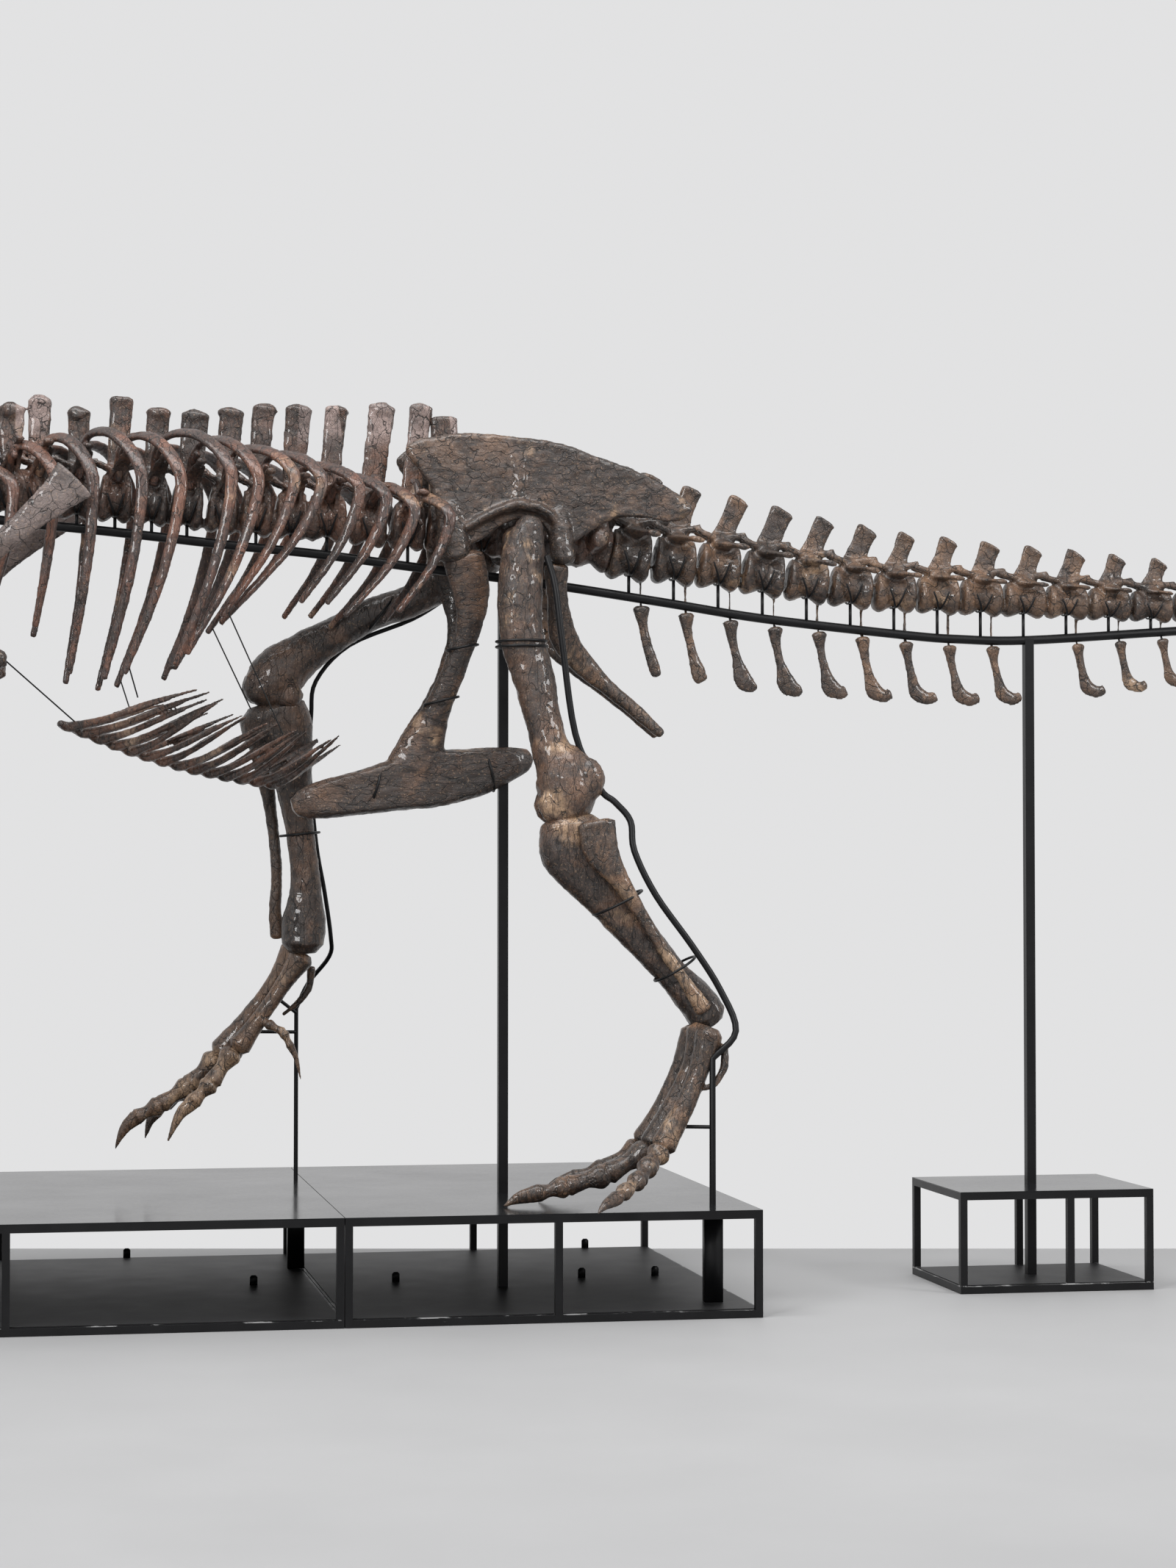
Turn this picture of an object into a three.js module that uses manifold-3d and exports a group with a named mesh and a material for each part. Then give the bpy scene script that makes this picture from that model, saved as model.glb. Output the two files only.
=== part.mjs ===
// A mounted skeleton of a large two legged carnivorous dinosaur, life size, in a walking pose,
// on its steel museum mount. Millimetres, +Z up. The head points along -X and the animal's left
// side faces -Y. The origin is the foot of the hip post, on the floor.
import * as THREE from 'three';
import { mergeVertices } from 'three/addons/utils/BufferGeometryUtils.js';
import Module from 'manifold-3d';

const wasm = await Module();
wasm.setup();

// Clearances: touching bodies keep GAP, and bones that grow together sink OVERLAP into each other.
const GAP = 0.3;
const OVERLAP = 3;
const WAIST = 0.78;

// The platform: a table of two modules under the feet, and low pedestals under the tail.
const TABLE_TOP = 425;
const PLATE = 4;
const TUBE = 30;
const TABLE_Y = [-900, 1360];
const REAR_X = [-760, 900];
const REAR_CROSS_X = 80;
const FRONT_X = [-3340, -763];
const FRONT_CROSS_X = -2050;
const PEDESTAL = { length: 850, width: 710 };
const TAIL_POST_X = 2310;
const FRONT_POST_X = -2640;
const POST = 40;
const SHEET = 3;

// The rail under the backbone, as x and z.
const RAIL_RADIUS = 19.5;
const RAIL_LINE = [
  [-3190, 3655], [-2990, 3605], [-2800, 3530], [-2640, 3425], [-2480, 3320], [-2300, 3250],
  [-2085, 3205], [-1615, 3165], [-1140, 3120], [-775, 3090], [-390, 3045], [0, 3003],
  [280, 2970], [710, 2910], [1130, 2850], [1750, 2790], [2000, 2775], [2310, 2775],
  [2990, 2825], [3900, 2890], [4700, 2935], [5500, 2960], [6120, 2965],
];

// The line through the centres of the vertebrae from neck to tail, as x and z.
const SPINE_LINE = [
  [-3190, 3745], [-3050, 3728], [-2900, 3690], [-2760, 3620], [-2620, 3530], [-2460, 3430],
  [-2300, 3365], [-2060, 3328], [-1660, 3308], [-1375, 3285], [-1075, 3258], [-715, 3240],
  [-390, 3212], [0, 3185], [350, 3150], [540, 3110], [925, 3070], [1305, 3015], [1645, 2975],
  [2170, 2955], [2935, 2930], [3900, 2962], [4700, 2990], [5500, 3002], [6250, 2995],
];

// One row for each back vertebra with its rib, from the neck back: vertebra x, height of its
// spine top, sideways lean of the rib's shoulder, widest reach, and where the rib ends in x and z.
const BACK = [
  { x: -2215, top: 3640, ribTop: 3420, ribBack: 120, wide: 215, tip: [-2110, 2905] },
  { x: -2060, top: 3680, ribTop: 3500, ribBack: 130, wide: 290, tip: [-1945, 2750] },
  { x: -1935, top: 3712, ribTop: 3530, ribBack: 155, wide: 360, tip: [-1810, 2560] },
  { x: -1775, top: 3668, ribTop: 3555, ribBack: 185, wide: 425, tip: [-1675, 2535] },
  { x: -1620, top: 3728, ribTop: 3540, ribBack: 180, wide: 470, tip: [-1595, 2555] },
  { x: -1470, top: 3682, ribTop: 3555, ribBack: 230, wide: 495, tip: [-1395, 2590] },
  { x: -1325, top: 3672, ribTop: 3530, ribBack: 190, wide: 500, tip: [-1350, 2635] },
  { x: -1180, top: 3690, ribTop: 3500, ribBack: 190, wide: 490, tip: [-1210, 2790] },
  { x: -1040, top: 3708, ribTop: 3480, ribBack: 160, wide: 470, tip: [-1155, 2830] },
  { x: -895, top: 3708, ribTop: 3440, ribBack: 175, wide: 430, tip: [-890, 2855] },
  { x: -745, top: 3712, ribTop: 3400, ribBack: 140, wide: 385, tip: [-780, 2855] },
  { x: -570, top: 3728, ribTop: 3365, ribBack: 85, wide: 335, tip: [-700, 2810] },
  { x: -405, top: 3732, ribTop: 3330, ribBack: 75, wide: 285, tip: [-475, 2835] },
];
const BACK_RADIUS = 86;
const RIB_THICK = 13;

// The tail: how many vertebrae, where the first and the last stand, and how sizes fall off.
const TAIL = { count: 36, first: 540, last: 6200, pitch: 187, shrink: 0.972 };
const TAIL_SPLITS = [1900, 3800];
const CHEVRONS = 21;
const POST_CHEVRON = 9;

// Belly ribs, from the chest back along the midline, as x and z, and their side tips.
const BELLY = { rows: 8, from: [-1790, 2360], to: [-955, 2128], reach: 410 };

// Every shape is made through these two settings: what it is placed by, and how much it is grown.
let place = new THREE.Matrix4();
let grow = 0;

function within(matrix, make) {
  const outer = place;
  place = outer.clone().multiply(matrix);
  const made = make();
  place = outer;
  return made;
}

function grown(amount, make) {
  grow = amount;
  const made = make();
  grow = 0;
  return made;
}

// A closed body from points and triangles, turned outwards whichever way it was drawn.
function solid(points, triangles) {
  const placed = points.map((point) => point.clone().applyMatrix4(place));
  let volume = 0;
  for (const [a, b, c] of triangles) {
    volume += placed[a].dot(placed[b].clone().cross(placed[c]));
  }
  const turned = volume < 0 ? triangles.map(([a, b, c]) => [a, c, b]) : triangles;
  return new wasm.Manifold(new wasm.Mesh({
    numProp: 3,
    vertProperties: new Float32Array(placed.flatMap((point) => point.toArray())),
    triVerts: new Uint32Array(turned.flat()),
  }));
}

function fromGeometry(geometry) {
  const bare = geometry.clone();
  bare.deleteAttribute('normal');
  bare.deleteAttribute('uv');
  const merged = mergeVertices(bare, 1e-4);
  const place3 = merged.getAttribute('position');
  const points = [];
  for (let i = 0; i < place3.count; i += 1) {
    points.push(new THREE.Vector3().fromBufferAttribute(place3, i));
  }
  const index = Array.from(merged.getIndex().array);
  const triangles = [];
  for (let i = 0; i < index.length; i += 3) {
    triangles.push(index.slice(i, i + 3));
  }
  return solid(points, triangles);
}

function join(bodies) {
  if (bodies.length === 1) {
    return bodies[0];
  }
  const half = Math.ceil(bodies.length / 2);
  return join(bodies.slice(0, half)).add(join(bodies.slice(half)));
}

function cut(body, cutters) {
  return cutters.reduce((left, cutter) => left.subtract(cutter), body);
}

function largest(body) {
  const pieces = body.decompose();
  return pieces.reduce((best, piece) => (piece.volume() > best.volume() ? piece : best));
}

function vector(point) {
  return new THREE.Vector3(point[0], point[1], point[2]);
}

// A skin over a row of rings with the same number of points, closed at both ends.
function loft(rings) {
  const sides = rings[0].length;
  const centres = rings.map((ring) => (
    ring.reduce((sum, point) => sum.add(point), new THREE.Vector3()).divideScalar(sides)
  ));
  const last = rings.length - 1;
  const points = [];
  rings.forEach((ring, i) => {
    const outward = new THREE.Vector3();
    if (i === 0) {
      outward.copy(centres[0]).sub(centres[1]).setLength(grow);
    }
    if (i === last) {
      outward.copy(centres[last]).sub(centres[last - 1]).setLength(grow);
    }
    ring.forEach((point) => {
      const away = point.clone().sub(centres[i]);
      away.setLength(away.length() + grow * 1.4);
      points.push(centres[i].clone().add(away).add(outward));
    });
  });
  const triangles = [];
  for (let i = 0; i < last; i += 1) {
    for (let j = 0; j < sides; j += 1) {
      const a = i * sides + j;
      const b = i * sides + ((j + 1) % sides);
      triangles.push([a, b, a + sides], [b, b + sides, a + sides]);
    }
  }
  for (let j = 1; j < sides - 1; j += 1) {
    triangles.push([0, j + 1, j]);
    triangles.push([last * sides, last * sides + j, last * sides + j + 1]);
  }
  return solid(points, triangles);
}

// A tapering rod or bone through stations of x, y, z, radius, and radius along the given side.
function tube(stations, sides = 6, side = [0, 1, 0]) {
  const fat = Math.sqrt(1 / Math.cos(Math.PI / sides));
  const centres = stations.map(vector);
  const last = stations.length - 1;
  const rings = stations.map((station, i) => {
    const along = centres[Math.min(i + 1, last)].clone().sub(centres[Math.max(i - 1, 0)]);
    along.normalize();
    const across = vector(side);
    across.sub(along.clone().multiplyScalar(across.dot(along))).normalize();
    const other = new THREE.Vector3().crossVectors(along, across);
    const wide = (station[4] ?? station[3]) * fat;
    const deep = station[3] * fat;
    return Array.from({ length: sides }, (_, j) => {
      const turn = (2 * Math.PI * (j + 0.5)) / sides;
      return centres[i].clone()
        .add(across.clone().multiplyScalar(wide * Math.cos(turn)))
        .add(other.clone().multiplyScalar(deep * Math.sin(turn)));
    });
  });
  return loft(rings);
}

function rod(points, radius, sides = 8, side = [0, 1, 0]) {
  return tube(points.map((point) => [...point, radius, radius]), sides, side);
}

function block(low, high) {
  const size = [0, 1, 2].map((i) => high[i] - low[i] + 2 * grow);
  const box = new THREE.BoxGeometry(...size);
  box.translate(...[0, 1, 2].map((i) => (low[i] + high[i]) / 2));
  return fromGeometry(box);
}

function ball(centre, rx, ry, rz, around = 8) {
  const shape = new THREE.SphereGeometry(1, around, Math.max(4, around - 2));
  shape.scale(rx + grow, ry + grow, rz + grow);
  shape.translate(...centre);
  return fromGeometry(shape);
}

// A pointed tooth or claw from its root to its tip.
function spike(root, tip, radius, sides = 4) {
  const axis = vector(tip).sub(vector(root));
  const cone = new THREE.ConeGeometry(radius + grow, axis.length() + 2 * grow, sides);
  const middle = vector(root).add(vector(tip)).multiplyScalar(0.5);
  cone.applyQuaternion(
    new THREE.Quaternion().setFromUnitVectors(new THREE.Vector3(0, 1, 0), axis.normalize()),
  );
  cone.translate(...middle.toArray());
  return fromGeometry(cone);
}

// A flat bone or plate from an outline in x and z, centred on y, with softened edges.
function plate(outline, y, thick, edge = 8) {
  const shape = new THREE.Shape(outline.map(([x, z]) => new THREE.Vector2(x, z)));
  const flat = new THREE.ExtrudeGeometry(shape, {
    depth: thick - 2 * edge + 2 * grow,
    bevelEnabled: edge > 0,
    bevelThickness: edge,
    bevelSize: edge,
    bevelOffset: grow - edge,
    bevelSegments: 1,
    curveSegments: 4,
  });
  flat.translate(0, 0, edge - thick / 2 - grow);
  flat.rotateX(Math.PI / 2);
  flat.translate(0, y, 0);
  return fromGeometry(flat);
}

function mix(a, b, t) {
  return a + (b - a) * t;
}

// The z of a line of x and z points at x.
function heightOn(line, x) {
  for (let i = 1; i < line.length; i += 1) {
    if (x <= line[i][0] || i === line.length - 1) {
      const t = (x - line[i - 1][0]) / (line[i][0] - line[i - 1][0]);
      return mix(line[i - 1][1], line[i][1], t);
    }
  }
  return line[0][1];
}

function slopeAt(x) {
  return Math.atan2(heightOn(SPINE_LINE, x + 60) - heightOn(SPINE_LINE, x - 60), 120);
}

// Moves the local origin to the backbone at x, with local x along it.
function onSpine(x) {
  const frame = new THREE.Matrix4().makeTranslation(x, 0, heightOn(SPINE_LINE, x));
  return frame.multiply(new THREE.Matrix4().makeRotationY(-slopeAt(x)));
}

// A chain of waisted drums, one for each vertebra, drawn as one body.
function drums(list, sides) {
  const stations = [];
  const point = (x, radius) => [x, 0, heightOn(SPINE_LINE, x), radius];
  list.forEach(({ x, length, radius }, i) => {
    const first = i === 0 ? 0.5 * length + OVERLAP : 0.42 * length;
    const end = i === list.length - 1 ? 0.5 * length + OVERLAP : 0.42 * length;
    stations.push(point(x - first, radius));
    if (radius > 40) {
      stations.push(point(x, radius * WAIST));
    }
    stations.push(point(x + end, radius));
  });
  return tube(stations, sides);
}

// What grows from one vertebra, round its own centre: the arch with its tall spine, and wings.
function arch({ length, radius, top, width, thick, lean = 0, wings = 0, wingRise, wingBack = 0 }) {
  const pieces = [tube([
    [0, 0, radius * 0.45, length * 0.3, radius * 0.42], [lean, 0, top, width * 0.5, thick * 0.55],
  ], 4)];
  if (wings > radius) {
    const rise = wingRise ?? radius * 1.2;
    pieces.push(tube([
      [wingBack, -wings, rise, length * 0.14, radius * 0.12],
      [0, 0, radius * 0.95, length * 0.24, radius * 0.26],
      [wingBack, wings, rise, length * 0.14, radius * 0.12],
    ], 4, [0, 0, 1]));
  }
  return join(pieces);
}

// Neck: nine vertebrae from the skull to the chest, growing bigger, with short ribs.
const NECK = { count: 9, from: -3165, to: -2355 };
function neckRadius(i) {
  return mix(58, 84, i / (NECK.count - 1));
}

function neck() {
  const step = (NECK.to - NECK.from) / (NECK.count - 1);
  const places = Array.from({ length: NECK.count }, (_, i) => ({
    x: NECK.from + i * step, length: step, radius: neckRadius(i), t: i / (NECK.count - 1),
  }));
  const grownParts = places.map(({ x, length, radius, t }) => within(onSpine(x), () => {
    const bone = arch({
      length, radius, top: mix(150, 265, t), width: mix(60, 82, t), thick: 34,
      lean: mix(20, -10, t),
    });
    const ribs = [-1, 1].map((s) => tube([
      [-length * 0.2, s * radius * 0.7, radius * 0.1, 26, 40],
      [length * mix(0.5, 0.9, t), s * radius * 1.5, -radius * 0.8, 10],
    ], 3));
    return join([bone, ...ribs]);
  }));
  const knob = NECK.from - 62;
  return join([drums(places, 6), ...grownParts, ball([knob, 0, heightOn(SPINE_LINE, knob) + 8], 40, 58, 52, 6)]);
}

// The path of one rib on side s, from the vertebra out over its shoulder and down to its tip.
function ribPath(row, s) {
  const z = heightOn(SPINE_LINE, row.x);
  const [tipX, tipZ] = row.tip;
  const far = row.x + row.ribBack + 60;
  const middle = mix(row.ribTop, tipZ, 0.28);
  const low = mix(row.ribTop, tipZ, 0.62);
  const curve = new THREE.CatmullRomCurve3([
    [row.x + 5, s * 45, z + 70],
    [row.x + 35, s * Math.min(150, row.wide * 0.5), mix(z + 90, row.ribTop, 0.85)],
    [mix(row.x, far, 0.55), s * row.wide * 0.66, row.ribTop - 22],
    [mix(row.x, far, 0.92), s * row.wide * 0.93, mix(row.ribTop, tipZ, 0.14)],
    [far, s * row.wide, middle],
    [mix(far, tipX, 0.35), s * row.wide * 0.985, low],
    [tipX, s * row.wide * 0.88, tipZ],
  ].map(vector), false, 'centripetal');
  return curve;
}

function rib(row, s) {
  const curve = ribPath(row, s);
  const steps = 5;
  const stations = Array.from({ length: steps + 1 }, (_, i) => {
    const t = i / steps;
    const point = curve.getPoint(t);
    const broad = mix(24, 14, t);
    return [...point.toArray(), broad, mix(RIB_THICK, RIB_THICK * 0.7, t)];
  });
  return tube(stations, 4, [0, s * 0.75, 0.66]);
}

function trunk(s) {
  const places = BACK.map((row, i) => {
    const next = BACK[i + 1]?.x ?? row.x + 160;
    return { x: row.x, length: next - row.x, radius: BACK_RADIUS };
  });
  const bones = BACK.map((row, i) => {
    const z = heightOn(SPINE_LINE, row.x);
    const bone = within(onSpine(row.x), () => arch({
      length: 150, radius: BACK_RADIUS, top: row.top - z, width: 92, thick: 32,
      lean: -18 + i * 3,
    }));
    return join([bone, rib(row, s)]);
  });
  const reach = 1200;
  const side = s < 0
    ? block([-3000, -reach, 2000], [500, -0.2, 4200])
    : block([-3000, 0.2, 2000], [500, reach, 4200]);
  return join([drums(places, 6), ...bones]).intersect(side);
}

// Belly ribs: thin bones that cross at the midline, each leaning on the pair in front.
function bellyRow(i) {
  const t = i / (BELLY.rows - 1);
  const sag = 34 * Math.sin(Math.PI * t);
  return [mix(BELLY.from[0], BELLY.to[0], t), mix(BELLY.from[1], BELLY.to[1], t) - sag];
}

function bellyTip(i) {
  const t = i / (BELLY.rows - 1);
  return [mix(-1500, -690, t), mix(2478, 2290, t)];
}

// The inner end and the bend of one belly rib. Each starts on the bone across the midline in front.
function bellyBone(i) {
  const [x, z] = bellyRow(i);
  const [tipX, tipZ] = bellyTip(i);
  const bend = vector([mix(x, tipX, 0.34), BELLY.reach * 0.42, mix(z, tipZ, 0.24)]);
  if (i === 0) {
    return { start: vector([x - 40, -20, z + 4]), bend };
  }
  const front = bellyBone(i - 1);
  const start = front.start.clone().lerp(front.bend, 0.35);
  start.y *= -1;
  return { start, bend };
}

function gastralia() {
  const pieces = [];
  for (let i = 0; i < BELLY.rows; i += 1) {
    const { start, bend } = bellyBone(i);
    const [tipX, tipZ] = bellyTip(i);
    for (const s of [-1, 1]) {
      pieces.push(tube([
        [start.x, s * start.y, start.z, 12, 15], [bend.x, s * bend.y, bend.z, 12, 15],
        [tipX, s * BELLY.reach, tipZ, 6],
      ], 3));
    }
  }
  const [x, z] = bellyRow(0);
  pieces.push(ball([x - 40, 0, z + 8], 40, 62, 18, 6));
  return join(pieces);
}

// Shoulder: a long strap of bone that widens to a plate by the arm joint.
const BLADE_Y = 447;
const SHOULDER = [-2448, 420, 2712];
const ELBOW = [-2075, 322, 2608];
const WRIST = [-2255, 300, 2470];
function scapula(s) {
  return join([
    tube([
      [-1800, s * (BLADE_Y + 8), 3322, 92, 13],
      [-1880, s * (BLADE_Y + 4), 3245, 68, 14],
      [-2050, s * (BLADE_Y - 8), 3095, 52, 17],
      [-2230, s * (BLADE_Y - 30), 2930, 58, 21],
      [-2370, s * (BLADE_Y - 52), 2810, 105, 26],
      [-2470, s * (BLADE_Y - 90), 2725, 140, 32],
      [-2570, s * (BLADE_Y - 160), 2655, 120, 20],
      [-2640, s * (BLADE_Y - 250), 2620, 60, 14],
    ], 6),
    ball([-2448, s * 372, 2738], 58, 44, 50, 6),
  ]);
}

function armBone(s, from, to, thick, ends) {
  const [a, b] = [vector(from), vector(to)];
  const at = (t) => a.clone().lerp(b, t).toArray();
  const mirror = ([x, y, z]) => [x, s * y, z];
  return tube([
    [...mirror(at(0)), ends], [...mirror(at(0.2)), thick * 1.1],
    [...mirror(at(0.8)), thick], [...mirror(at(1)), ends * 0.92],
  ], 4);
}

function forearm(s) {
  const radius = [WRIST[0] + 12, WRIST[1] - 34, WRIST[2] - 4];
  const palm = [WRIST[0] - 70, WRIST[1] - 10, WRIST[2] - 50];
  const pieces = [
    armBone(s, ELBOW, WRIST, 19, 30),
    armBone(s, [ELBOW[0] - 14, ELBOW[1] - 34, ELBOW[2] - 4], radius, 14, 24),
  ];
  const fingers = [
    { side: 24, reach: 1, size: 15 },
    { side: -26, reach: 0.78, size: 18 },
  ];
  for (const { side, reach, size } of fingers) {
    const root = [WRIST[0] + 16, s * (WRIST[1] - 16 + side * 0.6), WRIST[2] + 12];
    const joint = [palm[0] - 90 * reach, s * (palm[1] + side * 1.3), palm[2] - 66 * reach];
    const claw = [joint[0] - 66 * reach, s * (palm[1] + side * 1.4), joint[2] - 72 * reach];
    pieces.push(tube([[...root, size + 8], [...joint, size * 0.9]], 4));
    pieces.push(spike([joint[0] + 10, joint[1], joint[2] + 6], claw, size, 4));
  }
  return join(pieces);
}

// Hips. The sacrum is five drums grown together under one fused crest.
function sacrum() {
  const places = Array.from({ length: 5 }, (_, i) => ({ x: -248 + i * 158, length: 158, radius: 84 }));
  const wings = places.map(({ x }, i) => within(onSpine(x), () => tube([
    [0, -158 + Math.abs(i - 2) * 6, 70, 34, 60], [0, 158 - Math.abs(i - 2) * 6, 70, 34, 60],
  ], 4, [0, 0, 1])));
  const crest = [
    [-318, 3250], [-326, 3690], [-150, 3672], [120, 3642], [330, 3600], [480, 3540], [470, 3200],
  ];
  return join([drums(places, 6), ...wings, plate(crest, 0, 40, 0)]);
}

const ILIUM_Y = 172;
const ILIUM = [
  [-385, 3560], [-435, 3520], [-420, 3475], [-365, 3405], [-330, 3360], [-300, 3200],
  [-250, 3120], [-150, 3130], [-60, 3190], [35, 3235], [135, 3215], [180, 3150], [250, 3130],
  [310, 3165], [445, 3245], [560, 3255], [695, 3235], [775, 3290], [715, 3360], [505, 3460],
  [335, 3515], [200, 3560], [20, 3578], [-185, 3590],
];
function ilium(s) {
  return join([
    plate(ILIUM, s * ILIUM_Y, 44, 0),
    tube([[-262, s * 175, 3290, 40, 26], [-245, s * 178, 3180, 62, 46], [-232, s * 178, 3068, 74, 56]], 6),
    tube([[205, s * 178, 3280, 40, 26], [215, s * 182, 3170, 50, 44], [224, s * 182, 3066, 54, 50]], 6),
    tube([
      [-190, s * 200, 3190, 16, 26], [-60, s * 214, 3262, 20, 34], [40, s * 218, 3290, 22, 36],
      [150, s * 208, 3262, 18, 28], [215, s * 190, 3190, 14, 22],
    ], 4),
  ]);
}

const BOOT = [
  [-895, 2065], [-820, 2125], [-560, 2205], [-385, 2260], [-230, 2278], [-20, 2290], [100, 2280],
  [120, 2210], [20, 2140], [-110, 2080], [-285, 2035], [-385, 2028], [-770, 1988], [-870, 2005],
];
function pubis() {
  const shafts = [-1, 1].map((s) => tube([
    [-195, s * 172, 3075, 92, 50], [-160, s * 160, 2930, 84, 40], [-165, s * 128, 2780, 58, 32],
    [-215, s * 86, 2620, 52, 32], [-285, s * 48, 2450, 60, 38], [-345, s * 30, 2300, 95, 44],
    [-380, s * 26, 2180, 120, 46],
  ], 6));
  const apron = tube([
    [-190, 0, 2700, 20, 92], [-250, 0, 2540, 22, 62], [-330, 0, 2330, 30, 50],
  ], 4);
  return join([...shafts, apron, plate(BOOT, 0, 128, 26)]);
}

function ischium() {
  const shafts = [-1, 1].map((s) => tube([
    [196, s * 172, 3040, 56, 40], [205, s * 150, 2920, 46, 32], [236, s * 110, 2760, 60, 28],
    [320, s * 52, 2655, 52, 28], [450, s * 24, 2540, 40, 28], [570, s * 22, 2440, 36, 24],
    [668, s * 52, 2348, 26, 18],
  ], 6));
  return join(shafts);
}

// A leg bone on side s through stations of x, y outward, z and radii in and across the stride.
function legBone(s, stations, sides = 8) {
  return tube(stations.map(([x, y, z, a, b]) => [x, s * y, z, a, b ?? a]), sides);
}

// The left leg carries the weight, straight under the hips with its foot flat.
const LEFT = {
  femur: [
    [62, 320, 3205, 50, 60], [40, 318, 3105, 84, 74], [20, 325, 2960, 96, 82],
    [22, 338, 2745, 98, 76], [65, 352, 2585, 96, 72], [105, 368, 2400, 82, 70],
    [138, 382, 2262, 86, 80], [186, 396, 2180, 132, 108], [204, 404, 2080, 128, 112],
    [180, 408, 1990, 96, 88],
  ],
  head: [[40, 330, 3128, 66, 62], [32, 230, 3138, 60, 58], [30, 180, 3138, 70, 66]],
  tibia: [
    [222, 414, 1960, 140, 100], [232, 418, 1850, 148, 92], [318, 424, 1722, 118, 76],
    [402, 430, 1615, 96, 66], [515, 438, 1480, 80, 60], [632, 446, 1345, 70, 60],
    [726, 452, 1245, 80, 82], [778, 456, 1165, 84, 96],
  ],
  fibula: [
    [300, 520, 1968, 82, 34], [322, 524, 1850, 76, 30], [398, 524, 1730, 44, 26],
    [468, 524, 1620, 32, 24], [562, 528, 1470, 27, 22], [656, 534, 1330, 27, 22],
    [742, 540, 1200, 40, 26],
  ],
  metatarsals: [
    [[722, 444, 1104, 60], [664, 440, 960, 40], [590, 428, 800, 40], [524, 410, 668, 56]],
    [[738, 520, 1112, 66], [686, 528, 975, 36], [612, 542, 815, 46], [530, 556, 662, 62]],
    [[752, 596, 1106, 60], [706, 610, 965, 44], [636, 632, 812, 44], [548, 654, 664, 56]],
  ],
  splint: [[812, 606, 1060, 18], [808, 618, 975, 16], [764, 622, 905, 14], [694, 622, 884, 9]],
  toes: [
    { bones: [[505, 400, 640], [365, 392, 552], [226, 388, 512]], tip: [84, 380, 426], size: 50 },
    {
      bones: [[510, 560, 640], [330, 585, 545], [163, 604, 503], [38, 615, 478]],
      tip: [-96, 622, 426], size: 56,
    },
    {
      bones: [[530, 668, 640], [466, 752, 590], [408, 838, 545], [340, 920, 510], [286, 992, 488]],
      tip: [196, 1092, 440], size: 50,
    },
  ],
  hallux: { bones: [[660, 400, 830], [668, 372, 740], [650, 356, 690]], tip: [600, 344, 590] },
};

// The right leg swings forward, bent, with its toes hanging above the table.
const RIGHT = {
  femur: [
    [78, 318, 3190, 58, 60], [-20, 318, 3128, 84, 74], [-170, 330, 3030, 80, 74],
    [-340, 348, 2935, 74, 70], [-505, 366, 2878, 74, 70], [-655, 382, 2795, 78, 70],
    [-800, 396, 2705, 98, 84], [-900, 404, 2625, 124, 106], [-950, 410, 2560, 112, 108],
    [-930, 412, 2490, 66, 84],
  ],
  head: [[20, 330, 3128, 66, 62], [26, 230, 3138, 60, 58], [28, 180, 3138, 70, 66]],
  tibia: [
    [-935, 420, 2462, 150, 96], [-905, 424, 2370, 158, 90], [-862, 430, 2250, 112, 76],
    [-838, 436, 2115, 78, 68], [-808, 444, 1930, 66, 60], [-785, 452, 1710, 70, 60],
    [-792, 458, 1550, 98, 80], [-795, 460, 1455, 92, 94],
  ],
  fibula: [
    [-1000, 526, 2440, 72, 32], [-975, 526, 2320, 60, 28], [-945, 524, 2130, 36, 24],
    [-918, 524, 1950, 27, 22], [-902, 526, 1750, 27, 22], [-908, 532, 1600, 30, 22],
    [-892, 540, 1490, 38, 26],
  ],
  metatarsals: [
    [[-800, 470, 1400, 58], [-880, 480, 1280, 38], [-985, 486, 1130, 38], [-1062, 490, 1022, 54]],
    [[-826, 544, 1420, 66], [-912, 558, 1290, 35], [-1030, 586, 1120, 44], [-1126, 606, 996, 60]],
    [[-812, 618, 1412, 58], [-890, 640, 1280, 42], [-1000, 676, 1110, 42], [-1082, 708, 985, 54]],
  ],
  splint: [[-742, 618, 1350, 18], [-752, 630, 1265, 16], [-800, 636, 1200, 14], [-862, 640, 1150, 9]],
  toes: [
    { bones: [[-1088, 494, 1000], [-1182, 490, 866], [-1262, 484, 785]], tip: [-1366, 478, 622], size: 48 },
    {
      bones: [[-1150, 612, 968], [-1266, 620, 850], [-1390, 628, 766], [-1496, 632, 712]],
      tip: [-1582, 634, 580], size: 54,
    },
    {
      bones: [[-1104, 718, 962], [-1196, 752, 880], [-1276, 776, 812], [-1346, 792, 768], [-1400, 800, 722]],
      tip: [-1446, 806, 610], size: 48,
    },
  ],
  hallux: { bones: [[-948, 452, 1120], [-880, 434, 1082], [-848, 428, 1020]], tip: [-806, 424, 880] },
};

function femur(s, leg) {
  return join([legBone(s, leg.femur), legBone(s, leg.head)]);
}

function metatarsus(s, leg) {
  const pieces = leg.metatarsals.map((stations) => legBone(s, stations, 5));
  const ankle = leg.metatarsals.map((stations) => stations[0]);
  pieces.push(legBone(s, leg.splint, 4));
  pieces.push(tube([
    [ankle[0][0], s * (ankle[0][1] - 20), ankle[0][2] + 10, 46],
    [ankle[2][0], s * (ankle[2][1] + 10), ankle[2][2] + 10, 46],
  ], 6, [0, 0, 1]));
  const root = leg.hallux.bones[0];
  const inner = leg.metatarsals[0][2];
  pieces.push(tube([
    [inner[0], s * inner[1], inner[2], 16], [root[0], s * root[1], root[2], 20],
  ], 5, [1, 0, 0]));
  return join(pieces);
}

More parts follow.
